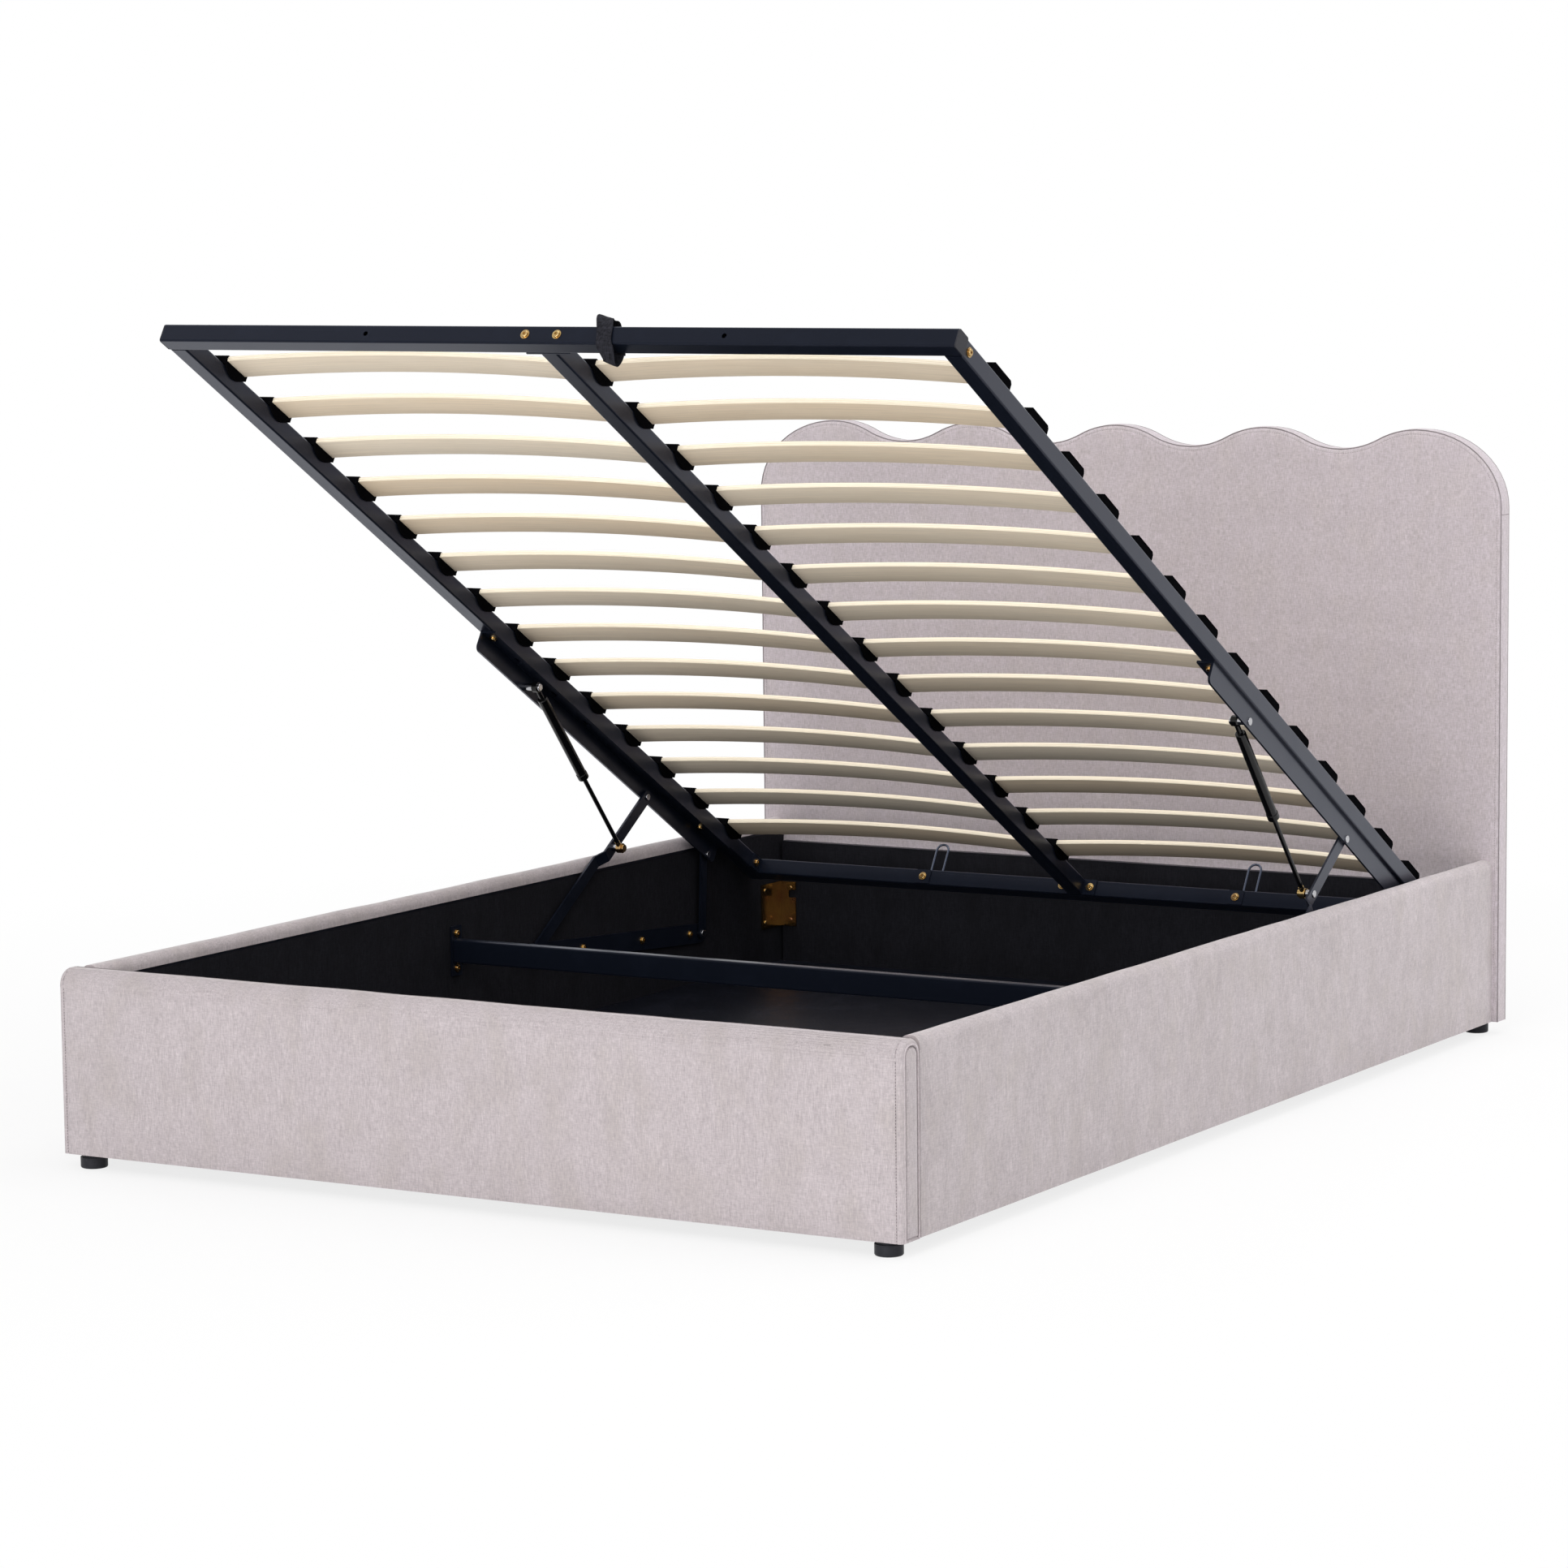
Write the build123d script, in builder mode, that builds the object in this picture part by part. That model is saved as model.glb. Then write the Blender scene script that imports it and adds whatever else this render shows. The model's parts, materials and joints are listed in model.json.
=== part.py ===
from build123d import *
import os
from math import asin, atan2, cos, degrees, hypot, radians, sin, sqrt

os.makedirs("parts", exist_ok=True)

# Upholstered base, measured from the floor and from the front of the footboard
bed_width = 1480
footboard_overhang = 2
footboard_thickness = 56
head_panel_thickness = 18
rail_thickness = 32
base_bottom = 23
base_top = 310
headboard_overhang = 11
headboard_thickness = 38
headboard_peak = 1064
headboard_valley = 1028
headboard_shoulder = 930
shoulder_run = 160
wave_count = 5

# Boards, padding and lining inside the covers
rail_board_thickness = 16
rail_pad_thickness = 14
top_pad_thickness = 12
footboard_board_thickness = 32
headboard_board_thickness = 15
headboard_pad_thickness = 20
lining_thickness = 2
fabric_return = 25
cover_corner_radius = 27
cover_edge_radius = 14
headboard_edge_radius = 9
head_panel_top = 267
head_panel_end_gap = 5

# Storage floor
floor_top = 38
floor_board_thickness = 5
batten_width = 20
beam_width = 60
floor_joint_gap = 2
foot_diameter = 42
foot_collar_diameter = 34
foot_collar_height = 6
corner_foot_inset = 36
beam_foot_diameter = 50
beam_foot_pitch = 520
beam_foot_count = 3

# Corner brackets
corner_leaf_length = 70
corner_leaf_short = 36
corner_leaf_height = 85
corner_leaf_bottom = 105
corner_leaf_thickness = 2.5
corner_notch = 15
corner_screw_diameter = 9
corner_screw_height = 2
corner_screw_inset = 12

# Cross bar between the side rails, ahead of the front pivots
crossbar_setback = 226
crossbar_depth = 20
crossbar_height = 40
crossbar_bottom = 183
crossbar_wall = 1.5
crossbar_plate_thickness = 3
crossbar_plate_width = 30
crossbar_plate_height = 86
crossbar_bolt_pitch = 60
crossbar_spigot_length = 40

# Lifting deck
deck_side_gap = 8
deck_length = 2040
deck_end_gap = 8
deck_tube = 30
deck_tube_wall = 1.5
deck_closed_height = 250.8
deck_open_angle = 31.08
centre_flange_width = 78
centre_flange_thickness = 3
frame_bolt_pitch = 56
plug_thickness = 2
plug_depth = 12
plug_corner_radius = 4
retainer_hole_diameter = 8
retainer_hole_spacing = 634

# Slats and their holders
slat_count = 14
first_slat = 152.5
last_slat_setback = 149.4
slat_width = 53
slat_thickness = 8
slat_crown = 14
slat_seat = 4
slat_inner_end = 6
slat_end_inset = 11
slat_clearance = 0.3
holder_length = 62
holder_height = 15
holder_chamfer = 4
holder_lip = 3
holder_skirt_depth = 12
holder_skirt_thickness = 3

# Lift arms under the side tubes
arm_thickness = 4
arm_link_gap = 4
arm_flange_width = 30
arm_depth = 36
arm_length = 889
arm_setback = 150
arm_fore_radius = 10
arm_bolt_fore_distance = 20
arm_bolt_rear_distance = 92
arm_slot_length = 22
arm_slot_width = 7
arm_bolt_inset = 21

# Four bar linkage, pivots of the base as distances from the headboard and heights
front_pivot_setback = 880
front_pivot_height = 166
rear_pivot_setback = 315
rear_pivot_height = 129
pivot_spacing = 252
arm_pivot_end_distance = 25
arm_pivot_depth = 29
link_width = 23
link_thickness = 4
short_link_width = 20
link_bracket_gap = 2
crank_arm_gap = 2
joggle_length = 16
joggle_to_stud = 24
stud_distance = 290
pivot_diameter = 8
pivot_clearance = 0.05
pivot_head_diameter = 13
pivot_head_height = 2.4
pivot_end_radius = 1.1
pivot_side_play = 0.1
open_pivot_gap = 0.3

# Brackets of the linkage on the side rails
bracket_thickness = 4
bracket_end_reach = 18
bracket_bolt_offsets = (100, 168, 365, 530)

# Gas struts
strut_stud_spacing = 445
strut_stud_depth = 25
strut_offset = 15
eye_width = 10
eye_diameter = 18
eye_pin_diameter = 8
stud_shoulder_diameter = 13
stud_cap_diameter = 13
stud_cap_height = 4
strut_neck_diameter = 9
strut_body_diameter = 18
strut_body_wall = 1.6
strut_body_start = 28
strut_body_length = 198
strut_collar_diameter = 20
strut_collar_length = 12
strut_collar_edge = 0.8
strut_end_wall = 6
strut_rod_diameter = 8
piston_length = 10
rod_socket_length = 16

# Bolts with a flanged button head and a hexagon socket
bolt_flange_diameter = 15
bolt_flange_height = 1.2
bolt_dome_diameter = 11
bolt_dome_height = 2.8
bolt_socket_diameter = 5
bolt_socket_depth = 2.2
bolt_shank_diameter = 6
bolt_shank_length = 12

# Mattress retainers on the head tube
retainer_plate_width = 30
retainer_plate_height = 27
retainer_plate_thickness = 2
retainer_wire_diameter = 4
retainer_loop_width = 24
retainer_loop_height = 57
retainer_loop_offset = 17
retainer_wire_seat = 12

# Pull strap round the foot tube
strap_position = 112
strap_width = 26
strap_thickness = 2.5
strap_half_height = 38
strap_corner_gap = 0.15

cut_overrun = 1
quarter_turn = 90
half = 0.5

# Lengths that follow the deck, and the places that follow from them
front_to_headboard = footboard_thickness + deck_length + 2 * deck_end_gap + head_panel_thickness
front_pivot_distance = front_to_headboard - front_pivot_setback
rear_pivot_distance = front_to_headboard - rear_pivot_setback
crossbar_centre = front_pivot_distance - crossbar_setback
arm_rear_end = deck_length - arm_setback
arm_fore_end = arm_rear_end - arm_length
arm_bolt_fore = arm_fore_end + arm_bolt_fore_distance
arm_bolt_rear = arm_rear_end - arm_bolt_rear_distance
arm_rear_pivot = arm_rear_end - arm_pivot_end_distance
arm_front_pivot = arm_rear_pivot - pivot_spacing
strut_stud = arm_front_pivot - strut_stud_spacing
slat_pitch = (deck_length - first_slat - last_slat_setback) / (slat_count - 1)


def along(distance):
    """Y of a point this far behind the front face of the footboard."""
    return distance - (front_to_headboard + headboard_thickness) * half


def save(piece, name):
    piece.label = name
    export_step(piece, f"parts/{name}.step")


# Linkage: the closed deck fixes the link lengths, and the open angle then places the deck
side_inner_face = bed_width * half - rail_thickness
footboard_width = bed_width + 2 * footboard_overhang
headboard_width = bed_width + 2 * headboard_overhang
deck_half_width = side_inner_face - deck_side_gap
bracket_face = side_inner_face - bracket_thickness
low_link_outer_face = bracket_face - link_bracket_gap
low_link_inner_face = low_link_outer_face - link_thickness
arm_outer_face = low_link_inner_face - arm_link_gap
arm_inner_face = arm_outer_face - arm_thickness
long_link_outer_face = arm_inner_face - crank_arm_gap
long_link_inner_face = long_link_outer_face - link_thickness
strut_plane = long_link_inner_face - strut_offset
closed_foot_end = footboard_thickness + deck_end_gap
closed_pivot_height = deck_closed_height - arm_pivot_depth
long_link_length = hypot(closed_foot_end + arm_front_pivot - front_pivot_distance,
                         closed_pivot_height - front_pivot_height)
short_link_length = hypot(closed_foot_end + arm_rear_pivot - rear_pivot_distance,
                          closed_pivot_height - rear_pivot_height)
open_cos = cos(radians(deck_open_angle))
open_sin = sin(radians(deck_open_angle))
reach_y = front_pivot_distance + pivot_spacing * open_cos - rear_pivot_distance
reach_z = front_pivot_height - pivot_spacing * open_sin - rear_pivot_height
reach = hypot(reach_y, reach_z)
foot_share = (short_link_length**2 - long_link_length**2 + reach**2) / (2 * reach**2)
rise_share = sqrt((short_link_length / reach) ** 2 - foot_share**2)
rear_joint = (rear_pivot_distance + foot_share * reach_y + rise_share * reach_z,
              rear_pivot_height + foot_share * reach_z - rise_share * reach_y)
front_joint = (rear_joint[0] - pivot_spacing * open_cos, rear_joint[1] + pivot_spacing * open_sin)

# The deck plane has its origin at the foot end of the underside, its Y towards the head end
deck_origin_distance = rear_joint[0] - arm_rear_pivot * open_cos + arm_pivot_depth * open_sin
deck_origin_height = rear_joint[1] + arm_rear_pivot * open_sin + arm_pivot_depth * open_cos
deck_plane = Plane(origin=(0, along(deck_origin_distance), deck_origin_height),
                   x_dir=(1, 0, 0), z_dir=(0, open_sin, open_cos))
deck_side_plane = Plane(origin=deck_plane.origin, x_dir=(0, open_cos, -open_sin), z_dir=(1, 0, 0))


def deck_point(distance, depth):
    """Distance and height of a deck point, this far from the foot end and under the tubes."""
    return (deck_origin_distance + distance * open_cos - depth * open_sin,
            deck_origin_height - distance * open_sin - depth * open_cos)


def base_plane(side, face):
    return Plane.YZ.offset(side * face)


def arm_plane(side, face):
    return deck_side_plane.offset(side * face)


def turned_pin(side, centre, steps):
    """A pin turned about a line across the bed, as steps of inner face, outer face and diameter."""
    with BuildPart() as pin:
        for inner, outer, diameter in steps:
            with BuildSketch(base_plane(side, inner)):
                with Locations((along(centre[0]), centre[1])):
                    Circle(diameter * half)
            extrude(amount=side * (outer - inner))
        for diameter, end in ((steps[0][2], min(side, 0)), (steps[-1][2], min(-side, 0))):
            if diameter > pivot_diameter:
                fillet(pin.faces().sort_by(Axis.X)[end].edges(), pivot_end_radius)
    return pin.part


def bolt(plane, length=bolt_shank_length):
    """A flanged button bolt whose flange lies on the plane, with a hexagon socket."""
    with BuildPart() as screw:
        with BuildSketch(plane):
            Circle(bolt_flange_diameter * half)
        extrude(amount=bolt_flange_height)
        with BuildSketch(plane.offset(bolt_flange_height)):
            Circle(bolt_dome_diameter * half)
        extrude(amount=bolt_dome_height)
        top_face = screw.faces().sort_by(Axis(plane.origin, plane.z_dir))[-1]
        fillet(top_face.edges(), bolt_dome_height * half)
        with BuildSketch(plane.offset(bolt_flange_height + bolt_dome_height)):
            RegularPolygon(bolt_socket_diameter * half, 6)
        extrude(amount=-bolt_socket_depth, mode=Mode.SUBTRACT)
        with BuildSketch(plane):
            Circle(bolt_shank_diameter * half)
        extrude(amount=-length)
    return screw.part


def bolt_bore(planes, depth):
    """Cuts the holes of bolts in the piece that is being made."""
    for plane in planes:
        with Locations(plane.offset(cut_overrun)):
            Cylinder(bolt_shank_diameter * half, depth + cut_overrun,
                     align=(Align.CENTER, Align.CENTER, Align.MAX), mode=Mode.SUBTRACT)


def group(pieces):
    with BuildPart() as bundle:
        for piece in pieces:
            add(piece)
    return bundle.part


def upright_block(x_range, y_range, z_range, mode=Mode.ADD):
    """A plain block between two corners, y as distances from the footboard."""
    centre = ((x_range[0] + x_range[1]) * half, along((y_range[0] + y_range[1]) * half), z_range[0])
    with Locations(centre):
        Box(x_range[1] - x_range[0], y_range[1] - y_range[0], z_range[1] - z_range[0],
            align=(Align.CENTER, Align.CENTER, Align.MIN), mode=mode)


# Places of the bolts on the side rails
bracket_run = hypot(rear_pivot_distance - front_pivot_distance, rear_pivot_height - front_pivot_height)
bracket_slope = degrees(atan2(rear_pivot_height - front_pivot_height,
                              rear_pivot_distance - front_pivot_distance))


def bracket_point(offset):
    share = offset / bracket_run
    return (front_pivot_distance + share * (rear_pivot_distance - front_pivot_distance),
            front_pivot_height + share * (rear_pivot_height - front_pivot_height))


def inward_plane(side, face, point):
    """A plane on an inner face of the side rail, facing the middle of the bed."""
    return Plane(origin=(side * face, along(point[0]), point[1]), x_dir=(0, 1, 0), z_dir=(-side, 0, 0))


crossbar_middle = crossbar_bottom + crossbar_height * half
crossbar_bolt_points = [(crossbar_centre, crossbar_middle - crossbar_bolt_pitch * half),
                        (crossbar_centre, crossbar_middle + crossbar_bolt_pitch * half)]
bracket_bolt_points = [bracket_point(offset) for offset in bracket_bolt_offsets]
crossbar_plate_face = side_inner_face - crossbar_plate_thickness


def rail_bolt_planes(side):
    planes = [inward_plane(side, crossbar_plate_face, point) for point in crossbar_bolt_points]
    return planes + [inward_plane(side, bracket_face, point) for point in bracket_bolt_points]


# Footboard: board, padded cover and lining
footboard_board_front = rail_pad_thickness
footboard_board_back = footboard_board_front + footboard_board_thickness
lining_top = base_top - fabric_return

with BuildPart() as footboard_core:
    upright_block((-side_inner_face, side_inner_face), (footboard_board_front, footboard_board_back),
                  (base_bottom, base_top - top_pad_thickness))
save(footboard_core.part, "footboard_core")

with BuildPart() as footboard_upholstery:
    with BuildSketch(Plane.XZ.offset(-along(0))):
        with Locations((0, (base_bottom + base_top) * half)):
            Rectangle(footboard_width, base_top - base_bottom)
    extrude(amount=-footboard_thickness)
    top_corners = footboard_upholstery.edges().filter_by(Axis.Y).group_by(Axis.Z)[-1]
    fillet(top_corners, cover_corner_radius)
    face_edges = (footboard_upholstery.faces().sort_by(Axis.Y)[0].edges()
                  + footboard_upholstery.faces().sort_by(Axis.Y)[-1].edges())
    fillet(face_edges.filter_by_position(Axis.Z, base_bottom + cut_overrun, base_top), cover_edge_radius)
    add(footboard_core.part, mode=Mode.SUBTRACT)
    upright_block((-side_inner_face, side_inner_face),
                  (footboard_thickness - lining_thickness, footboard_thickness),
                  (base_bottom, lining_top), mode=Mode.SUBTRACT)
save(footboard_upholstery.part, "footboard_upholstery")

with BuildPart() as lining_foot:
    upright_block((-side_inner_face, side_inner_face),
                  (footboard_thickness - lining_thickness, footboard_thickness), (base_bottom, lining_top))
save(lining_foot.part, "lining_foot")

# Side rails: board, padded cover and lining, left and right
rail_board_outer = side_inner_face + lining_thickness + rail_board_thickness


def side_rail_board(side):
    with BuildPart() as board:
        upright_block(sorted((side * (side_inner_face + lining_thickness), side * rail_board_outer)),
                      (footboard_thickness, front_to_headboard), (base_bottom, base_top - top_pad_thickness))
        bolt_bore(rail_bolt_planes(side), bolt_shank_length)
    return board.part


def side_rail_cover(side):
    with BuildPart() as cover:
        with BuildSketch(Plane.XZ.offset(-along(footboard_thickness))) as section:
            with Locations((side * (bed_width - rail_thickness) * half, (base_bottom + base_top) * half)):
                Rectangle(rail_thickness, base_top - base_bottom)
            fillet(section.vertices().group_by(Axis.Y)[-1], cover_edge_radius)
        extrude(amount=-(front_to_headboard - footboard_thickness))
        upright_block(sorted((side * side_inner_face, side * rail_board_outer)),
                      (footboard_thickness, front_to_headboard), (base_bottom, lining_top), mode=Mode.SUBTRACT)
        upright_block(sorted((side * (side_inner_face + lining_thickness), side * rail_board_outer)),
                      (footboard_thickness, front_to_headboard),
                      (lining_top, base_top - top_pad_thickness), mode=Mode.SUBTRACT)
    return cover.part


def side_lining(side):
    with BuildPart() as sheet:
        upright_block(sorted((side * side_inner_face, side * (side_inner_face + lining_thickness))),
                      (footboard_thickness, front_to_headboard), (base_bottom, lining_top))
        bolt_bore(rail_bolt_planes(side), bolt_shank_length)
    return sheet.part


for side, side_name in ((-1, "left"), (1, "right")):
    save(side_rail_board(side), f"side_rail_core_{side_name}")
    save(side_rail_cover(side), f"side_rail_upholstery_{side_name}")
    save(side_lining(side), f"lining_{side_name}")

# Headboard: its top edge is a row of round waves that ends in a round shoulder on each side
wave_mean = (headboard_peak + headboard_valley) * half
outer_peak = headboard_width * half - shoulder_run
quarter_wave = outer_peak / (wave_count - 1) * half
wave_sagitta = (headboard_peak - headboard_valley) * half
wave_radius = (quarter_wave**2 + wave_sagitta**2) / (2 * wave_sagitta)
wave_half_angle = asin(quarter_wave / wave_radius)
shoulder_rise = headboard_peak - headboard_shoulder


def headboard_section(front, inset):
    """The headboard seen from the front, its sides and its top drawn in by an inset."""
    side_x = headboard_width * half - inset
    run, rise = shoulder_run - inset, shoulder_rise - inset
    peak, middle, valley = headboard_peak - inset, wave_mean - inset, headboard_valley - inset
    crest_x = outer_peak - wave_radius * sin(wave_half_angle * half)
    crest_z = peak - wave_radius * (1 - cos(wave_half_angle * half))
    crest_end = outer_peak - quarter_wave
    with BuildSketch(Plane.XZ.offset(-along(front))) as section:
        with BuildLine():
            Line((side_x, base_bottom), (side_x, headboard_shoulder))
            EllipticalCenterArc((outer_peak, headboard_shoulder), run, rise,
                                start_angle=0, arc_size=quarter_turn)
            ThreePointArc((outer_peak, peak), (crest_x, crest_z), (crest_end, middle))
            for step in range(1, 2 * wave_count - 2):
                turn_x = outer_peak - 2 * step * quarter_wave
                ThreePointArc((turn_x + quarter_wave, middle), (turn_x, valley if step % 2 else peak),
                              (turn_x - quarter_wave, middle))
            ThreePointArc((-crest_end, middle), (-crest_x, crest_z), (-outer_peak, peak))
            EllipticalCenterArc((-outer_peak, headboard_shoulder), run, rise,
                                start_angle=quarter_turn, arc_size=quarter_turn)
            Polyline((-side_x, headboard_shoulder), (-side_x, base_bottom), (side_x, base_bottom))
        make_face()
    return section.sketch


headboard_back = front_to_headboard + headboard_thickness
headboard_board_front = front_to_headboard + headboard_pad_thickness
with BuildPart() as headboard_core:
    extrude(headboard_section(headboard_board_front, top_pad_thickness), amount=-headboard_board_thickness)
save(headboard_core.part, "headboard_core")

with BuildPart() as headboard_upholstery:
    extrude(headboard_section(front_to_headboard, 0), amount=-headboard_thickness)
    rim = (headboard_upholstery.faces().sort_by(Axis.Y)[0].edges()
           + headboard_upholstery.faces().sort_by(Axis.Y)[-1].edges())
    fillet(rim.filter_by_position(Axis.Z, base_bottom + cut_overrun, headboard_peak), headboard_edge_radius)
    add(headboard_core.part, mode=Mode.SUBTRACT)
save(headboard_upholstery.part, "headboard_upholstery")

# Inner panel at the head end with its lining
head_panel_front = front_to_headboard - head_panel_thickness
head_panel_half = side_inner_face - head_panel_end_gap
with BuildPart() as head_end_panel:
    upright_block((-head_panel_half, head_panel_half), (head_panel_front + lining_thickness, front_to_headboard),
                  (base_bottom, head_panel_top))
save(head_end_panel.part, "head_end_panel")

with BuildPart() as lining_head:
    upright_block((-head_panel_half, head_panel_half), (head_panel_front, head_panel_front + lining_thickness),
                  (base_bottom, head_panel_top))
save(lining_head.part, "lining_head")

# Storage floor: battens round the inside, a middle beam, four boards
batten_top = floor_top - floor_board_thickness
batten_inner = side_inner_face - batten_width
with BuildPart() as floor_battens:
    for side in (-1, 1):
        upright_block(sorted((side * batten_inner, side * side_inner_face)),
                      (footboard_thickness, head_panel_front), (base_bottom, batten_top))
    for front in (footboard_thickness, head_panel_front - batten_width):
        for side in (-1, 1):
            upright_block(sorted((side * beam_width * half, side * (batten_inner - floor_joint_gap))),
                          (front, front + batten_width), (base_bottom, batten_top))
save(floor_battens.part, "floor_battens")

with BuildPart() as floor_centre_beam:
    upright_block((-beam_width * half, beam_width * half), (footboard_thickness, head_panel_front),
                  (base_bottom, batten_top))
save(floor_centre_beam.part, "floor_centre_beam")

floor_middle = (footboard_thickness + head_panel_front) * half
with BuildPart() as floor_panels:
    for side in (-1, 1):
        x_range = sorted((side * floor_joint_gap * half, side * side_inner_face))
        for y_range in ((footboard_thickness, floor_middle - floor_joint_gap * half),
                        (floor_middle + floor_joint_gap * half, head_panel_front)):
            upright_block(x_range, y_range, (batten_top, floor_top))
save(floor_panels.part, "floor_panels")


def round_foot(point, diameter):
    """A turned foot from the floor up to the underside of the base."""
    with BuildPart() as foot:
        with BuildSketch(Plane.XY):
            with Locations((point[0], along(point[1]))):
                Circle(diameter * half)
        extrude(amount=base_bottom - foot_collar_height)
        fillet(foot.faces().sort_by(Axis.Z)[0].edges(), foot_collar_height * half)
        with BuildSketch(Plane.XY.offset(base_bottom - foot_collar_height)):
            with Locations((point[0], along(point[1]))):
                Circle(foot_collar_diameter * half)
        extrude(amount=foot_collar_height)
    return foot.part


corner_foot_x = bed_width * half - corner_foot_inset
with BuildPart() as corner_feet:
    for side in (-1, 1):
        for distance in (footboard_thickness * half, front_to_headboard + headboard_thickness * half):
            add(round_foot((side * corner_foot_x, distance), foot_diameter))
save(corner_feet.part, "corner_feet")

with BuildPart() as floor_feet:
    for index in range(beam_foot_count):
        distance = floor_middle + (index - (beam_foot_count - 1) * half) * beam_foot_pitch
        add(round_foot((0, distance), beam_foot_diameter))
save(floor_feet.part, "floor_feet")


# Corner brackets: two leaves of pressed plate with a notch, and their screws
def corner_bracket(side, wall, direction):
    """A bracket in the corner of a side rail and an end wall; direction points away from the wall."""
    outer = side * side_inner_face
    inner = side * (side_inner_face - corner_leaf_thickness)
    top = corner_leaf_bottom + corner_leaf_height
    with BuildPart() as plate:
        upright_block(sorted((outer, inner)), sorted((wall, wall + direction * corner_leaf_length)),
                      (corner_leaf_bottom, top))
        upright_block(sorted((inner, side * (side_inner_face - corner_leaf_short))),
                      sorted((wall, wall + direction * corner_leaf_thickness)), (corner_leaf_bottom, top))
        notch_bottom = top - 2 * corner_notch
        upright_block(sorted((side * (side_inner_face - corner_leaf_short - cut_overrun),
                              side * (side_inner_face - corner_leaf_short + corner_notch))),
                      sorted((wall, wall + direction * corner_leaf_thickness)),
                      (notch_bottom, notch_bottom + corner_notch), mode=Mode.SUBTRACT)
    return plate.part


def corner_screws(side, wall, direction):
    """Pan heads on both leaves."""
    heads = []
    side_face = side_inner_face - corner_leaf_thickness
    for height in (corner_leaf_bottom + corner_screw_inset,
                   corner_leaf_bottom + corner_leaf_height - corner_screw_inset):
        point = (wall + direction * (corner_leaf_length - corner_screw_inset), height)
        heads.append(pan_head(inward_plane(side, side_face, point)))
        end_x = side * (side_inner_face - corner_leaf_short + corner_screw_inset)
        end_plane = Plane(origin=(end_x, along(wall + direction * corner_leaf_thickness), height),
                          x_dir=(1, 0, 0), z_dir=(0, direction, 0))
        heads.append(pan_head(end_plane))
    return heads


def pan_head(plane):
    with BuildPart() as head:
        with BuildSketch(plane):
            Circle(corner_screw_diameter * half)
        extrude(amount=corner_screw_height)
        fillet(head.faces().sort_by(Axis(plane.origin, plane.z_dir))[-1].edges(), corner_screw_height * half)
    return head.part


corners = [(side, wall, direction) for side in (-1, 1)
           for wall, direction in ((footboard_thickness, 1), (head_panel_front, -1))]
save(group([corner_bracket(*corner) for corner in corners]), "corner_brackets")
save(group([head for corner in corners for head in corner_screws(*corner)]), "corner_bracket_screws")

# Cross bar, the plates with spigots that carry it, and the bolts in the side rails
crossbar_half = crossbar_plate_face - open_pivot_gap
with BuildPart() as crossbar:
    with BuildSketch(Plane.YZ) as section:
        with Locations((along(crossbar_centre), crossbar_middle)):
            Rectangle(crossbar_depth, crossbar_height)
        fillet(section.vertices(), crossbar_wall * 2)
        with Locations((along(crossbar_centre), crossbar_middle)):
            Rectangle(crossbar_depth - 2 * crossbar_wall, crossbar_height - 2 * crossbar_wall, mode=Mode.SUBTRACT)
    extrude(amount=crossbar_half, both=True)
save(crossbar.part, "crossbar")


def crossbar_plate(side):
    with BuildPart() as plate:
        with BuildSketch(base_plane(side, crossbar_plate_face)):
            with Locations((along(crossbar_centre), crossbar_middle)):
                Rectangle(crossbar_plate_width, crossbar_plate_height)
        extrude(amount=side * crossbar_plate_thickness)
        with BuildSketch(base_plane(side, crossbar_plate_face)):
            with Locations((along(crossbar_centre), crossbar_middle)):
                Rectangle(crossbar_depth - 2 * crossbar_wall - open_pivot_gap,
                          crossbar_height - 2 * crossbar_wall - open_pivot_gap)
        extrude(amount=-side * crossbar_spigot_length)
        bolt_bore([inward_plane(side, crossbar_plate_face, point) for point in crossbar_bolt_points],
                  crossbar_plate_thickness)
    return plate.part


save(group([crossbar_plate(-1), crossbar_plate(1)]), "crossbar_brackets")
save(group([bolt(plane) for side in (-1, 1) for plane in rail_bolt_planes(side)]), "panel_bolts")


# Brackets of the linkage, with a raised end at each pivot
def lift_base_bracket(side):
    with BuildPart() as bracket:
        with BuildSketch(base_plane(side, bracket_face)):
            with Locations((along((front_pivot_distance + rear_pivot_distance) * half),
                            (front_pivot_height + rear_pivot_height) * half)):
                SlotCenterToCenter(bracket_run, bracket_end_reach * 2, rotation=bracket_slope)
        extrude(amount=side * bracket_thickness)
        bolt_bore([inward_plane(side, bracket_face, point) for point in bracket_bolt_points], bracket_thickness)
        for point in (bracket_point(0), bracket_point(bracket_run)):
            with BuildSketch(base_plane(side, bracket_face)):
                with Locations((along(point[0]), point[1])):
                    Circle(pivot_diameter * half)
            extrude(amount=side * bracket_thickness, mode=Mode.SUBTRACT)
    return bracket.part


for side, side_name in ((-1, "left"), (1, "right")):
    save(lift_base_bracket(side), f"lift_base_bracket_{side_name}")

base_pin_steps = (
    (low_link_inner_face - pivot_side_play - pivot_head_height, low_link_inner_face - pivot_side_play,
     pivot_head_diameter),
    (low_link_inner_face - pivot_side_play, low_link_outer_face + pivot_side_play, pivot_diameter),
    (low_link_outer_face + pivot_side_play, bracket_face, pivot_head_diameter),
    (bracket_face, side_inner_face, pivot_diameter),
)
base_pivots = ((front_pivot_distance, front_pivot_height), (rear_pivot_distance, rear_pivot_height))
save(group([turned_pin(side, point, base_pin_steps) for side in (-1, 1) for point in base_pivots]),
     "base_pivot_pins")

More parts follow.
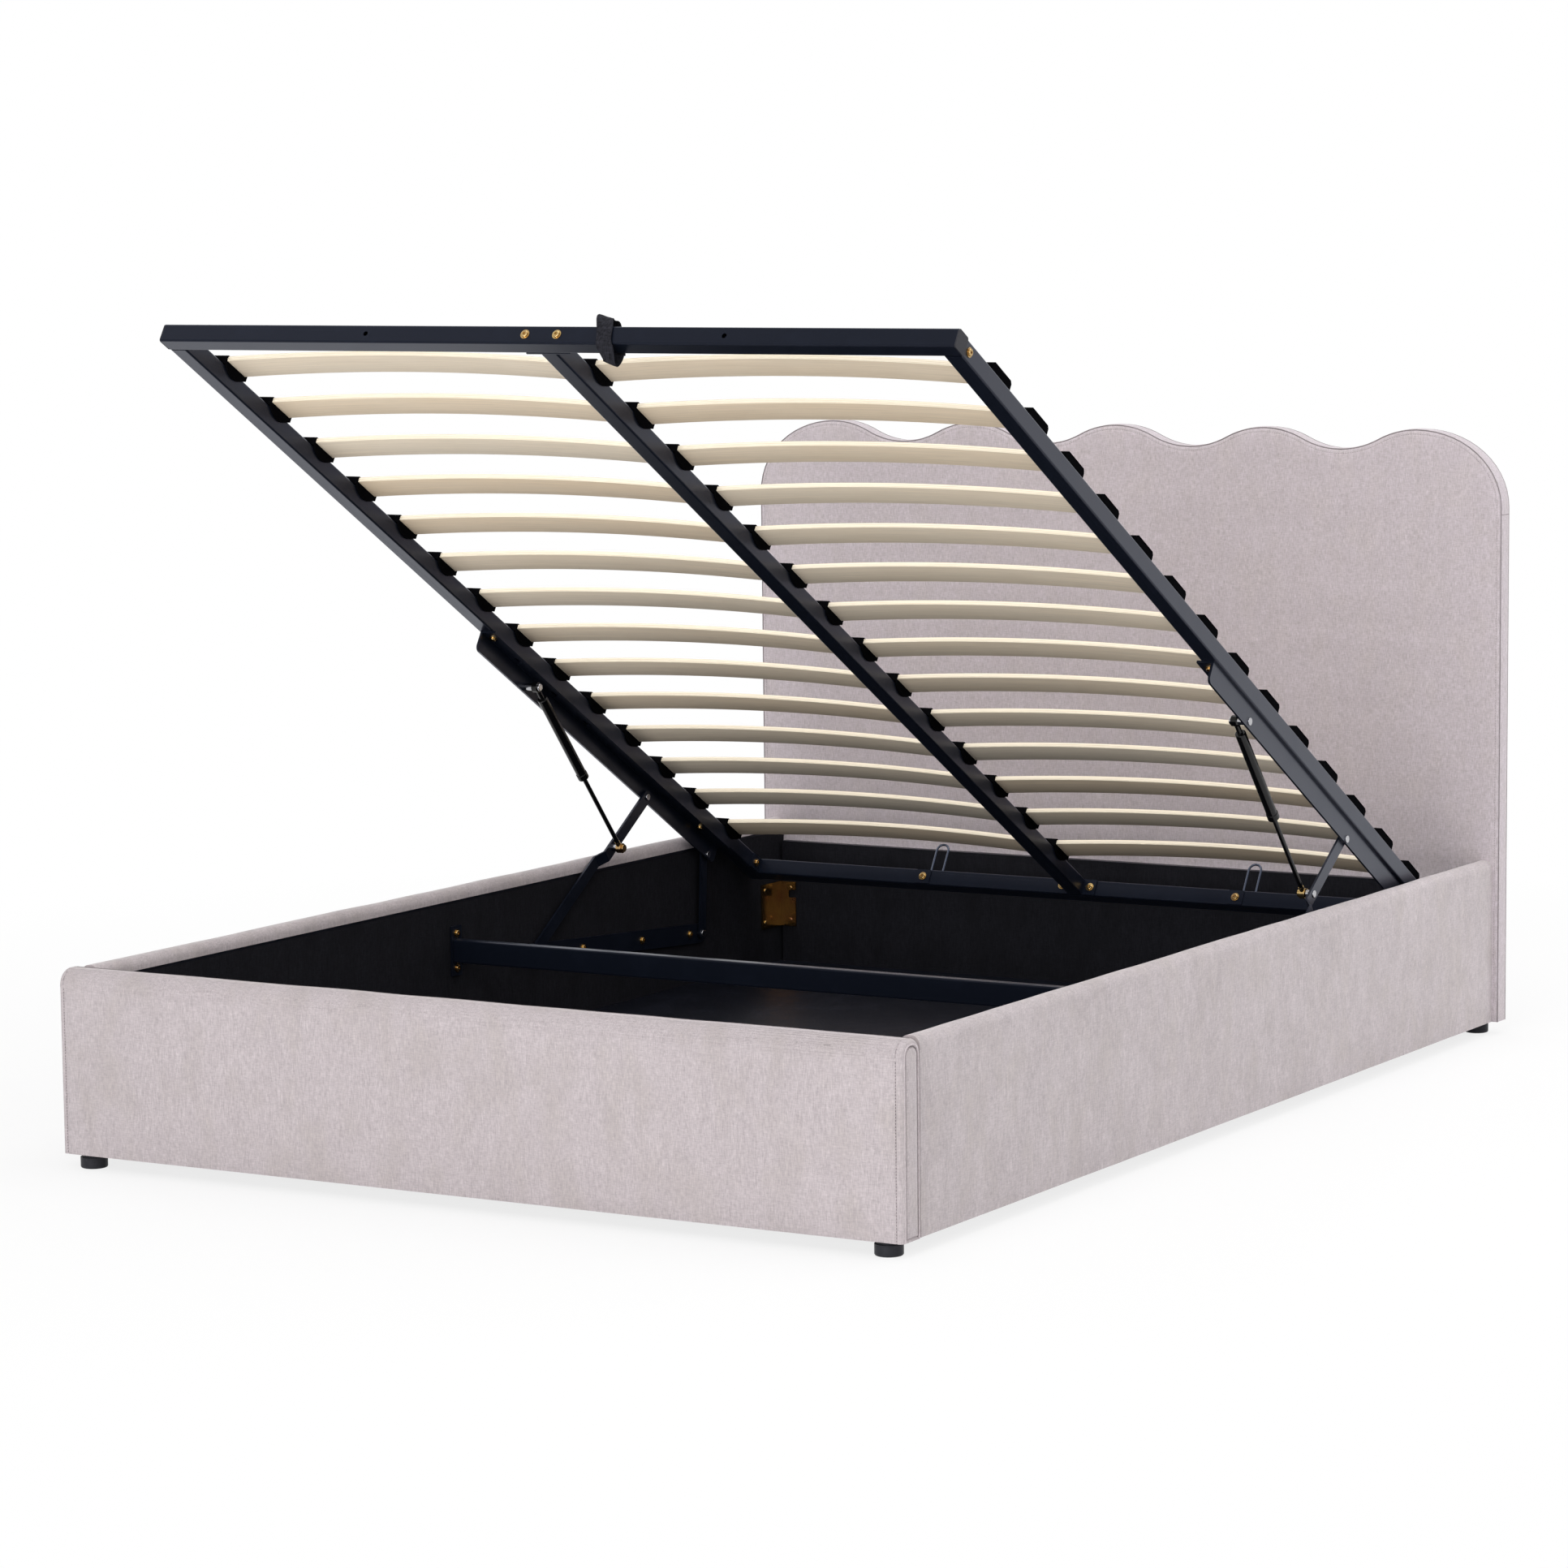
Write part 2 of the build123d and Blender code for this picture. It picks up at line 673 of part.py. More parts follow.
# Long links: pinned to the bracket at the front, cranked past the arm, riveted to the arm at the top
link_rise = degrees(atan2(front_joint[1] - front_pivot_height, front_joint[0] - front_pivot_distance))
link_cos = cos(radians(link_rise))
link_sin = sin(radians(link_rise))
stud_point = (front_pivot_distance + stud_distance * link_cos, front_pivot_height + stud_distance * link_sin)
running_bore = pivot_diameter + 2 * pivot_clearance


def long_link(side):
    joggle_end = stud_distance - joggle_to_stud
    joggle_start = joggle_end - joggle_length
    low_in, low_out = -side * low_link_inner_face, -side * low_link_outer_face
    high_in, high_out = -side * long_link_inner_face, -side * long_link_outer_face
    strip_plane = Plane(origin=(0, along(front_pivot_distance), front_pivot_height),
                        x_dir=(0, link_cos, link_sin), z_dir=(0, -link_sin, link_cos))
    with BuildPart() as link:
        with BuildSketch(strip_plane):
            with BuildLine():
                Polyline((0, low_in), (joggle_start, low_in), (joggle_end, high_in),
                         (long_link_length, high_in), (long_link_length, high_out),
                         (joggle_end, high_out), (joggle_start, low_out), (0, low_out), close=True)
            make_face()
        extrude(amount=link_width * half, both=True)
        for point, face in ((base_pivots[0], low_link_inner_face), (front_joint, long_link_inner_face)):
            with BuildSketch(base_plane(side, face)):
                with Locations((along(point[0]), point[1])):
                    Circle(link_width * half)
            extrude(amount=side * link_thickness)
        for point, face, bore in ((base_pivots[0], low_link_inner_face, running_bore),
                                  (front_joint, long_link_inner_face, pivot_diameter),
                                  (stud_point, long_link_inner_face, pivot_diameter)):
            with BuildSketch(base_plane(side, face)):
                with Locations((along(point[0]), point[1])):
                    Circle(bore * half)
            extrude(amount=side * link_thickness, mode=Mode.SUBTRACT)
    return link.part


link_rivet_steps = (
    (long_link_inner_face - pivot_head_height, long_link_inner_face, pivot_head_diameter),
    (long_link_inner_face, long_link_outer_face, pivot_diameter),
    (long_link_outer_face, arm_inner_face - pivot_side_play, pivot_head_diameter),
    (arm_inner_face - pivot_side_play, arm_outer_face + pivot_side_play, pivot_diameter),
    (arm_outer_face + pivot_side_play, arm_outer_face + pivot_side_play + pivot_head_height,
     pivot_head_diameter),
)
eye_inner_face = strut_plane - eye_width * half
eye_outer_face = strut_plane + eye_width * half
lower_stud_steps = (
    (eye_outer_face + open_pivot_gap, long_link_inner_face, stud_shoulder_diameter),
    (long_link_inner_face, long_link_outer_face, pivot_diameter),
    (long_link_outer_face, long_link_outer_face + link_thickness * half - open_pivot_gap,
     stud_shoulder_diameter),
)
for side, side_name in ((-1, "left"), (1, "right")):
    save(long_link(side), f"long_link_{side_name}")
    save(turned_pin(side, front_joint, link_rivet_steps), f"long_link_rivet_{side_name}")
    save(turned_pin(side, stud_point, lower_stud_steps), f"strut_lower_stud_{side_name}")


# Short links stand between the bracket and the rear end of the arm, outside the arm
def short_link(side):
    rise = degrees(atan2(rear_joint[1] - rear_pivot_height, rear_joint[0] - rear_pivot_distance))
    middle = (along((rear_joint[0] + rear_pivot_distance) * half), (rear_joint[1] + rear_pivot_height) * half)
    with BuildPart() as link:
        with BuildSketch(base_plane(side, low_link_inner_face)):
            with Locations(middle):
                SlotCenterToCenter(short_link_length, short_link_width, rotation=rise)
        extrude(amount=side * link_thickness)
        with BuildSketch(base_plane(side, low_link_inner_face)):
            with Locations((along(rear_pivot_distance), rear_pivot_height)):
                Circle(running_bore * half)
        extrude(amount=side * link_thickness, mode=Mode.SUBTRACT)
        with BuildSketch(base_plane(side, low_link_outer_face)):
            with Locations((along(rear_joint[0]), rear_joint[1])):
                Circle(pivot_head_diameter * half)
        extrude(amount=side * pivot_head_height)
    return link.part


for side, side_name in ((-1, "left"), (1, "right")):
    save(short_link(side), f"short_link_{side_name}")

# Lift arms: an angle whose flange is bolted under the side tube
arm_bolt_reach = deck_half_width - arm_bolt_inset
strut_joint = deck_point(strut_stud, strut_stud_depth)


def arm_bolt_planes(side):
    return [Plane(origin=deck_plane.from_local_coords((side * arm_bolt_reach, distance, -arm_thickness)),
                  x_dir=(1, 0, 0), z_dir=(0, -open_sin, -open_cos))
            for distance in (arm_bolt_fore, arm_bolt_rear)]


def lift_arm(side):
    flange_inner = arm_outer_face - arm_flange_width
    flange_reach = side * (flange_inner + arm_outer_face) * half
    arm_middle = (arm_fore_end + arm_rear_end) * half
    with BuildPart() as arm:
        with BuildSketch(arm_plane(side, arm_inner_face)) as web:
            with Locations((arm_middle, -arm_depth * half)):
                Rectangle(arm_length, arm_depth)
            fillet(web.vertices().group_by(Axis.Y)[0], arm_fore_radius)
        extrude(amount=side * arm_thickness)
        with BuildSketch(deck_plane):
            with Locations((flange_reach, arm_middle)):
                Rectangle(arm_flange_width, arm_length)
        extrude(amount=-arm_thickness)
        slot_share = (0.12, 0.27, 0.40)
        for share in slot_share:
            with BuildSketch(deck_plane):
                with Locations((flange_reach, arm_fore_end + share * arm_length)):
                    SlotOverall(arm_slot_length, arm_slot_width, rotation=quarter_turn)
            extrude(amount=-arm_thickness, mode=Mode.SUBTRACT)
        for distance, depth, bore in ((arm_front_pivot, arm_pivot_depth, running_bore),
                                      (arm_rear_pivot, arm_pivot_depth, pivot_diameter),
                                      (strut_stud, strut_stud_depth, pivot_diameter)):
            with BuildSketch(arm_plane(side, arm_inner_face)):
                with Locations((distance, -depth)):
                    Circle(bore * half)
            extrude(amount=side * arm_thickness, mode=Mode.SUBTRACT)
        bolt_bore(arm_bolt_planes(side), arm_thickness)
    return arm.part


rear_rivet_steps = (
    (arm_inner_face - pivot_head_height, arm_inner_face, pivot_head_diameter),
    (arm_inner_face, low_link_inner_face - open_pivot_gap, pivot_diameter),
)
upper_stud_steps = (
    (eye_inner_face - pivot_side_play - stud_cap_height, eye_inner_face - pivot_side_play, stud_cap_diameter),
    (eye_inner_face - pivot_side_play, eye_outer_face + pivot_side_play, eye_pin_diameter),
    (eye_outer_face + pivot_side_play, arm_inner_face, stud_shoulder_diameter),
    (arm_inner_face, arm_outer_face, pivot_diameter),
    (arm_outer_face, arm_outer_face + pivot_head_height, pivot_head_diameter),
)
for side, side_name in ((-1, "left"), (1, "right")):
    save(lift_arm(side), f"lift_arm_{side_name}")
save(group([turned_pin(side, point, steps) for side in (-1, 1)
            for point, steps in ((rear_joint, rear_rivet_steps), (strut_joint, upper_stud_steps))]),
     "arm_pivot_studs")

# Deck frame of square tube
side_tube_middle = deck_half_width - deck_tube * half
tube_bore = deck_tube - 2 * deck_tube_wall


def deck_tube_length(x, start, end):
    """A square tube along the deck, given by the x of its middle and its two ends."""
    with BuildPart() as tube:
        section_plane = Plane(origin=deck_plane.from_local_coords((x, start, deck_tube * half)),
                              x_dir=(1, 0, 0), z_dir=(0, open_cos, -open_sin))
        with BuildSketch(section_plane) as section:
            Rectangle(deck_tube, deck_tube)
            fillet(section.vertices(), deck_tube_wall * 2)
            Rectangle(tube_bore, tube_bore, mode=Mode.SUBTRACT)
        extrude(amount=end - start)
    return tube.part


def deck_cross_tube(distance, half_length):
    """A square tube across the deck, given by the distance of its middle from the foot end."""
    with BuildPart() as tube:
        with BuildSketch(deck_side_plane) as section:
            with Locations((distance, deck_tube * half)):
                Rectangle(deck_tube, deck_tube)
            fillet(section.vertices(), deck_tube_wall * 2)
            with Locations((distance, deck_tube * half)):
                Rectangle(tube_bore, tube_bore, mode=Mode.SUBTRACT)
        extrude(amount=half_length, both=True)
    return tube.part


def foot_face_plane(x, height):
    return Plane(origin=deck_plane.from_local_coords((x, 0, height)),
                 x_dir=(1, 0, 0), z_dir=(0, -open_cos, open_sin))


def head_face_plane(x, height):
    """A plane on the face of the head tube that looks to the foot end."""
    return Plane(origin=deck_plane.from_local_coords((x, deck_length - deck_tube, height)),
                 x_dir=(1, 0, 0), z_dir=(0, -open_cos, open_sin))


def side_bolt_plane(side):
    """The bolt that holds the foot tube's spigot in the side tube."""
    distance = deck_tube + frame_bolt_pitch * half * half
    return Plane(origin=deck_plane.from_local_coords((side * deck_half_width, distance, deck_tube * half)),
                 x_dir=(0, 1, 0), z_dir=(side, 0, 0))


def head_bolt_plane(side):
    """The bolt through the lug of the head tube into the side tube."""
    distance = deck_length - deck_tube - frame_bolt_pitch * half * half
    reach_in = deck_half_width - deck_tube
    return Plane(origin=deck_plane.from_local_coords((side * reach_in, distance, deck_tube * half)),
                 x_dir=(0, 1, 0), z_dir=(-side, 0, 0))


centre_bolt_reach = frame_bolt_pitch * half
foot_bolt_planes = [foot_face_plane(side * centre_bolt_reach, deck_tube * half) for side in (-1, 1)]
head_centre_planes = [head_face_plane(side * centre_bolt_reach, deck_tube * half).offset(centre_flange_thickness)
                      for side in (-1, 1)]
retainer_planes = [head_face_plane(side * retainer_hole_spacing * half, deck_tube * half) for side in (-1, 1)]

for side, side_name in ((-1, "left"), (1, "right")):
    with BuildPart() as deck_rail:
        add(deck_tube_length(side * side_tube_middle, deck_tube, deck_length))
        bolt_bore([side_bolt_plane(side), head_bolt_plane(side)], deck_tube_wall)
        bolt_bore([plane.offset(-arm_thickness) for plane in arm_bolt_planes(side)], deck_tube_wall)
    save(deck_rail.part, f"deck_rail_{side_name}")

with BuildPart() as deck_centre_rail:
    add(deck_tube_length(0, deck_tube + centre_flange_thickness,
                         deck_length - deck_tube - centre_flange_thickness))
    for start in (deck_tube, deck_length - deck_tube - centre_flange_thickness):
        flange_plane = Plane(origin=deck_plane.from_local_coords((0, start, deck_tube * half)),
                             x_dir=(1, 0, 0), z_dir=(0, open_cos, -open_sin))
        with BuildSketch(flange_plane):
            Rectangle(centre_flange_width, deck_tube)
        extrude(amount=centre_flange_thickness)
    bolt_bore([plane.offset(-deck_tube) for plane in foot_bolt_planes], centre_flange_thickness)
    bolt_bore(head_centre_planes, centre_flange_thickness)
save(deck_centre_rail.part, "deck_centre_rail")

spigot_size = tube_bore - open_pivot_gap
with BuildPart() as deck_foot_tube:
    add(deck_cross_tube(deck_tube * half, deck_half_width))
    for side in (-1, 1):
        spigot_plane = Plane(origin=deck_plane.from_local_coords((side * side_tube_middle, deck_tube,
                                                                  deck_tube * half)),
                             x_dir=(1, 0, 0), z_dir=(0, open_cos, -open_sin))
        with BuildSketch(spigot_plane):
            Rectangle(spigot_size, spigot_size)
        extrude(amount=frame_bolt_pitch)
    bolt_bore(foot_bolt_planes, deck_tube)
    bolt_bore([side_bolt_plane(side) for side in (-1, 1)], bolt_shank_length)
    for side in (-1, 1):
        with BuildSketch(foot_face_plane(side * retainer_hole_spacing * half, deck_tube * half)):
            Circle(retainer_hole_diameter * half)
        extrude(amount=-deck_tube_wall, mode=Mode.SUBTRACT)
save(deck_foot_tube.part, "deck_foot_tube")

lug_thickness = 2 * deck_tube_wall
head_tube_half = deck_half_width - deck_tube
with BuildPart() as deck_head_tube:
    add(deck_cross_tube(deck_length - deck_tube * half, head_tube_half))
    for side in (-1, 1):
        with BuildSketch(arm_plane(side, head_tube_half)):
            with Locations((deck_length - deck_tube - frame_bolt_pitch * half * half, deck_tube * half)):
                Rectangle(frame_bolt_pitch * half, deck_tube - 2 * deck_tube_wall)
        extrude(amount=-side * lug_thickness)
    bolt_bore([head_bolt_plane(side).offset(lug_thickness) for side in (-1, 1)], lug_thickness)
    bolt_bore([plane.offset(-centre_flange_thickness) for plane in head_centre_planes], bolt_shank_length)
    bolt_bore(retainer_planes, bolt_shank_length)
    for side in (-1, 1):
        for leg in (-1, 1):
            loop_x = side * retainer_hole_spacing * half + retainer_loop_offset + leg * retainer_loop_width * half
            with BuildSketch(deck_plane.offset(deck_tube)):
                with Locations((loop_x, deck_length - deck_tube * half)):
                    Circle(retainer_wire_diameter * half)
            extrude(amount=-retainer_wire_seat, mode=Mode.SUBTRACT)
save(deck_head_tube.part, "deck_head_tube")


def end_plug(plane):
    """A plastic plug that stops the end of a square tube, its rim on the plane."""
    with BuildPart() as plug:
        with BuildSketch(plane) as rim_sketch:
            Rectangle(deck_tube, deck_tube)
            fillet(rim_sketch.vertices(), plug_corner_radius)
        extrude(amount=plug_thickness)
        with BuildSketch(plane):
            Rectangle(tube_bore - open_pivot_gap, tube_bore - open_pivot_gap)
        extrude(amount=-plug_depth)
    return plug.part


def cross_plug_plane(side):
    return Plane(origin=deck_plane.from_local_coords((side * deck_half_width, deck_tube * half, deck_tube * half)),
                 x_dir=(0, open_cos, -open_sin), z_dir=(side, 0, 0))


def rail_plug_plane(side):
    return Plane(origin=deck_plane.from_local_coords((side * side_tube_middle, deck_length, deck_tube * half)),
                 x_dir=(1, 0, 0), z_dir=(0, open_cos, -open_sin))


save(group([end_plug(plane(side)) for side in (-1, 1) for plane in (cross_plug_plane, rail_plug_plane)]),
     "tube_end_plugs")

long_shank = deck_tube + 2 * centre_flange_thickness
frame_bolts = [bolt(plane, long_shank) for plane in foot_bolt_planes]
frame_bolts += [bolt(plane, bolt_shank_length) for plane in head_centre_planes]
frame_bolts += [bolt(side_bolt_plane(side), bolt_shank_length) for side in (-1, 1)]
frame_bolts += [bolt(head_bolt_plane(side).offset(lug_thickness), bolt_shank_length * half) for side in (-1, 1)]
frame_bolts += [bolt(plane, bolt_shank_length * half) for side in (-1, 1) for plane in arm_bolt_planes(side)]
frame_bolts += [bolt(plane.offset(retainer_plate_thickness), bolt_shank_length) for plane in retainer_planes]
save(group(frame_bolts), "deck_frame_bolts")

# Slats: bowed plywood, two columns, in plastic holders on the three lengthwise tubes
slat_outer_end = deck_half_width - slat_end_inset
slat_level = deck_tube + slat_seat
slat_distances = [first_slat + index * slat_pitch for index in range(slat_count)]
slat_section_plane = Plane(origin=deck_plane.origin, x_dir=(1, 0, 0), z_dir=(0, -open_cos, open_sin))


def slat_section(side, distance, play):
    """A bowed slat seen along the deck, grown by a play on every side but its ends."""
    inner, outer = side * slat_inner_end, side * slat_outer_end
    middle = side * (slat_inner_end + slat_outer_end) * half
    low, high = slat_level - play, slat_level + slat_thickness + play
    with BuildSketch(slat_section_plane.offset(-distance)) as section:
        with BuildLine():
            ThreePointArc((inner, low), (middle, low + slat_crown), (outer, low))
            Line((outer, low), (outer, high))
            ThreePointArc((outer, high), (middle, high + slat_crown), (inner, high))
            Line((inner, high), (inner, low))
        make_face()
    return section.sketch


def slat(side, distance):
    with BuildPart() as strip:
        extrude(slat_section(side, distance, 0), amount=slat_width * half, both=True)
    return strip.part


def slat_holder(reach_in, reach_out, sides, distance):
    """A holder that sits on a tube between two x values, with a pocket and a skirt for each side."""
    width = reach_out - reach_in
    middle = (reach_in + reach_out) * half
    with BuildPart() as holder:
        with BuildSketch(deck_plane.offset(deck_tube)):
            with Locations((middle, distance)):
                Rectangle(width, holder_length)
        extrude(amount=holder_height)
        top_ends = holder.faces().filter_by(deck_plane).sort_by(Axis.Z)[-1].edges().filter_by(Axis.X)
        chamfer(top_ends, holder_chamfer)
        for side, skirt_from, skirt_to in sides:
            with BuildSketch(arm_plane(side, skirt_from)):
                with BuildLine():
                    near = (distance - holder_length * half, deck_tube + holder_chamfer)
                    low = (distance, deck_tube - holder_skirt_depth)
                    far = (distance + holder_length * half, deck_tube + holder_chamfer)
                    ThreePointArc(near, low, far)
                    Line(far, near)
                make_face()
            extrude(amount=side * (skirt_to - skirt_from))
        for side, skirt_from, skirt_to in sides:
            extrude(slat_section(side, distance, slat_clearance), amount=slat_width * half + slat_clearance,
                    both=True, mode=Mode.SUBTRACT)
    return holder.part


tube_inner_face = deck_half_width - deck_tube
skirt_gap = open_pivot_gap
holder_overhang = skirt_gap + holder_skirt_thickness
centre_holder_reach = deck_tube * half + holder_overhang
for side, side_name in ((-1, "left"), (1, "right")):
    x_range = sorted((side * (deck_half_width - holder_lip), side * (tube_inner_face - holder_overhang)))
    skirt = (side, tube_inner_face - holder_overhang, tube_inner_face - skirt_gap)
    save(group([slat_holder(*x_range, (skirt,), distance) for distance in slat_distances]),
         f"slat_holders_{side_name}")
    save(group([slat(side, distance) for distance in slat_distances]), f"slats_{side_name}")

centre_skirts = [(side, deck_tube * half + skirt_gap, centre_holder_reach) for side in (-1, 1)]
save(group([slat_holder(-centre_holder_reach, centre_holder_reach, centre_skirts, distance)
            for distance in slat_distances]), "slat_holders_centre")


# Mattress retainers: a wire loop standing in the head tube beside a clamp plate
def retainer_loop(side):
    middle_x = side * retainer_hole_spacing * half + retainer_loop_offset
    bend = retainer_loop_width * half
    start = deck_tube - retainer_wire_seat
    top = deck_tube + retainer_loop_height - bend
    loop_plane = Plane(origin=deck_plane.from_local_coords((middle_x, deck_length - deck_tube * half, 0)),
                       x_dir=(1, 0, 0), z_dir=(0, -open_cos, open_sin))
    with BuildPart() as wire:
        with BuildLine(loop_plane) as path:
            Line((-bend, start), (-bend, top))
            ThreePointArc((-bend, top), (0, top + bend), (bend, top))
            Line((bend, top), (bend, start))
        with BuildSketch(Plane(origin=path.line @ 0, z_dir=path.line % 0)):
            Circle(retainer_wire_diameter * half)
        sweep()
    return wire.part


def retainer_clamp(side):
    plane = retainer_planes[0] if side < 0 else retainer_planes[1]
    with BuildPart() as clamp:
        with BuildSketch(plane) as sheet:
            Rectangle(retainer_plate_width, retainer_plate_height)
            fillet(sheet.vertices(), retainer_plate_thickness)
            Circle(bolt_shank_diameter * half, mode=Mode.SUBTRACT)
        extrude(amount=retainer_plate_thickness)
    return clamp.part


save(group([retainer_loop(-1), retainer_loop(1)]), "mattress_retainer_loops")
save(group([retainer_clamp(-1), retainer_clamp(1)]), "retainer_clamps")

# Pull strap: a stiff webbing loop that grips the corners of the foot tube
strap_inner_height = strap_half_height - strap_thickness
corner_reach = deck_tube * half + strap_corner_gap
strap_inner_depth = corner_reach / sqrt(1 - (corner_reach / strap_inner_height) ** 2)
with BuildPart() as pull_strap:
    with BuildSketch(deck_side_plane.offset(strap_position)):
        with Locations((deck_tube * half, deck_tube * half)):
            Ellipse(strap_inner_depth + strap_thickness, strap_half_height)
            Ellipse(strap_inner_depth, strap_inner_height, mode=Mode.SUBTRACT)
    extrude(amount=strap_width * half, both=True)
save(pull_strap.part, "pull_strap")

# Gas struts, drawn from the stud on the arm to the stud on the long link
strut_length = hypot(strut_joint[0] - stud_point[0], strut_joint[1] - stud_point[1])
strut_cos = (stud_point[0] - strut_joint[0]) / strut_length
strut_sin = (stud_point[1] - strut_joint[1]) / strut_length


def strut_plane_at(side, distance):
    """A plane square to the strut, this far from its upper joint, facing its lower joint."""
    origin = (side * strut_plane, along(strut_joint[0] + strut_cos * distance),
              strut_joint[1] + strut_sin * distance)
    return Plane(origin=origin, x_dir=(1, 0, 0), z_dir=(0, strut_cos, strut_sin))


def round_section(side, face, centre, diameter):
    """A disc seen along the width of the bed."""
    with BuildSketch(base_plane(side, face)) as section:
        with Locations((along(centre[0]), centre[1])):
            Circle(diameter * half)
    return section.sketch


def strut_cylinder(side):
    body_end = strut_body_start + strut_body_length
    eye_bore = eye_pin_diameter + 2 * pivot_clearance
    with BuildPart() as cylinder:
        with BuildSketch(strut_plane_at(side, strut_body_start)):
            Circle(strut_body_diameter * half)
        extrude(amount=strut_body_length)
        fillet(cylinder.edges().filter_by(GeomType.CIRCLE), strut_body_wall)
        with BuildSketch(strut_plane_at(side, body_end - strut_collar_length)):
            Circle(strut_collar_diameter * half)
        extrude(amount=strut_collar_length)
        collar_edges = cylinder.edges().filter_by(GeomType.CIRCLE).group_by(SortBy.RADIUS)[-1]
        fillet(collar_edges, strut_collar_edge)
        with BuildSketch(strut_plane_at(side, eye_pin_diameter)):
            Circle(strut_neck_diameter * half)
        extrude(amount=strut_body_start - eye_pin_diameter)
        extrude(round_section(side, eye_inner_face, strut_joint, eye_diameter), amount=side * eye_width)
        extrude(round_section(side, eye_inner_face, strut_joint, eye_bore), amount=side * eye_width,
                mode=Mode.SUBTRACT)
        with BuildSketch(strut_plane_at(side, strut_body_start + strut_end_wall)):
            Circle(strut_body_diameter * half - strut_body_wall)
        extrude(amount=strut_body_length - 2 * strut_end_wall, mode=Mode.SUBTRACT)
        with BuildSketch(strut_plane_at(side, body_end - strut_end_wall)):
            Circle(strut_rod_diameter * half + pivot_clearance)
        extrude(amount=strut_end_wall, mode=Mode.SUBTRACT)
    return cylinder.part


def strut_rod(side):
    piston_start = strut_body_start + strut_body_length - strut_end_wall - piston_length
    rod_end = strut_length - rod_socket_length
    with BuildPart() as rod:
        with BuildSketch(strut_plane_at(side, piston_start)):
            Circle(strut_body_diameter * half - strut_body_wall - pivot_clearance)
        extrude(amount=piston_length - open_pivot_gap)
        with BuildSketch(strut_plane_at(side, piston_start)):
            Circle(strut_rod_diameter * half)
        extrude(amount=rod_end - piston_start)
    return rod.part


def strut_lower_eye(side):
    """The eye screwed on the rod, with the cap of the screw that stands in it."""
    with BuildPart() as eye:
        with BuildSketch(strut_plane_at(side, strut_length - rod_socket_length)):
            Circle(strut_neck_diameter * half)
        extrude(amount=rod_socket_length - eye_pin_diameter * half)
        extrude(round_section(side, eye_inner_face, stud_point, eye_diameter), amount=side * eye_width)
        extrude(round_section(side, eye_inner_face - stud_cap_height, stud_point, stud_cap_diameter),
                amount=side * stud_cap_height)
    return eye.part


for side, side_name in ((-1, "left"), (1, "right")):
    save(strut_cylinder(side), f"strut_cylinder_{side_name}")
    save(strut_rod(side), f"strut_rod_{side_name}")
    save(strut_lower_eye(side), f"strut_lower_eye_{side_name}")
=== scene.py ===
import json
from math import asin, cos, pi, radians, sin, sqrt, tau

import bmesh
import bpy
from mathutils import Matrix, Vector, noise


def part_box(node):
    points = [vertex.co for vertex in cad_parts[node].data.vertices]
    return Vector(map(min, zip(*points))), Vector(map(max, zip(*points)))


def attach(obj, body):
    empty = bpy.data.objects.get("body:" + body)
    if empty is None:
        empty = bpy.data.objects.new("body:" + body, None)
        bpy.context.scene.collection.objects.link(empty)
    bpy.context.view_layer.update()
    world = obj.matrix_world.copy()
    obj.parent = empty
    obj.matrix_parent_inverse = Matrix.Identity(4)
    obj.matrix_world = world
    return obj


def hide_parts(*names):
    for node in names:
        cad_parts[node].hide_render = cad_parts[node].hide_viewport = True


bl_info = {
    "name": "Storage bed dressing",
    "version": (1, 0, 0),
    "blender": (4, 5, 0),
    "location": "View3D > Sidebar > Storage Bed",
    "description": "Upholstery, wood, metal and stage for a lift-up storage bed",
    "category": "Object",
}

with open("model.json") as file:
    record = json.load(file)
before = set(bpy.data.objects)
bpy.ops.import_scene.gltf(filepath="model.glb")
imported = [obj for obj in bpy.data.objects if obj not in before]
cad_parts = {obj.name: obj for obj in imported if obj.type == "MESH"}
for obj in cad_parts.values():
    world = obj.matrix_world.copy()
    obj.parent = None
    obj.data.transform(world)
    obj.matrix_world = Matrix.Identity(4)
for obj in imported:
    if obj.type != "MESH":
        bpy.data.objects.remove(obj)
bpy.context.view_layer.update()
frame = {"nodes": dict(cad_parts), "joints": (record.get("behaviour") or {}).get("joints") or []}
joints = {joint["name"]: joint for joint in frame["joints"]}


# Property groups: the sizes and colours that a user would change


def length(name, text, default):
    return bpy.props.FloatProperty(name=name, description=text, default=default, unit="LENGTH",
                                   precision=4)


def colour(name, text, default):
    return bpy.props.FloatVectorProperty(name=name, description=text, default=default, size=3,
                                         subtype="COLOR", min=0, max=1)


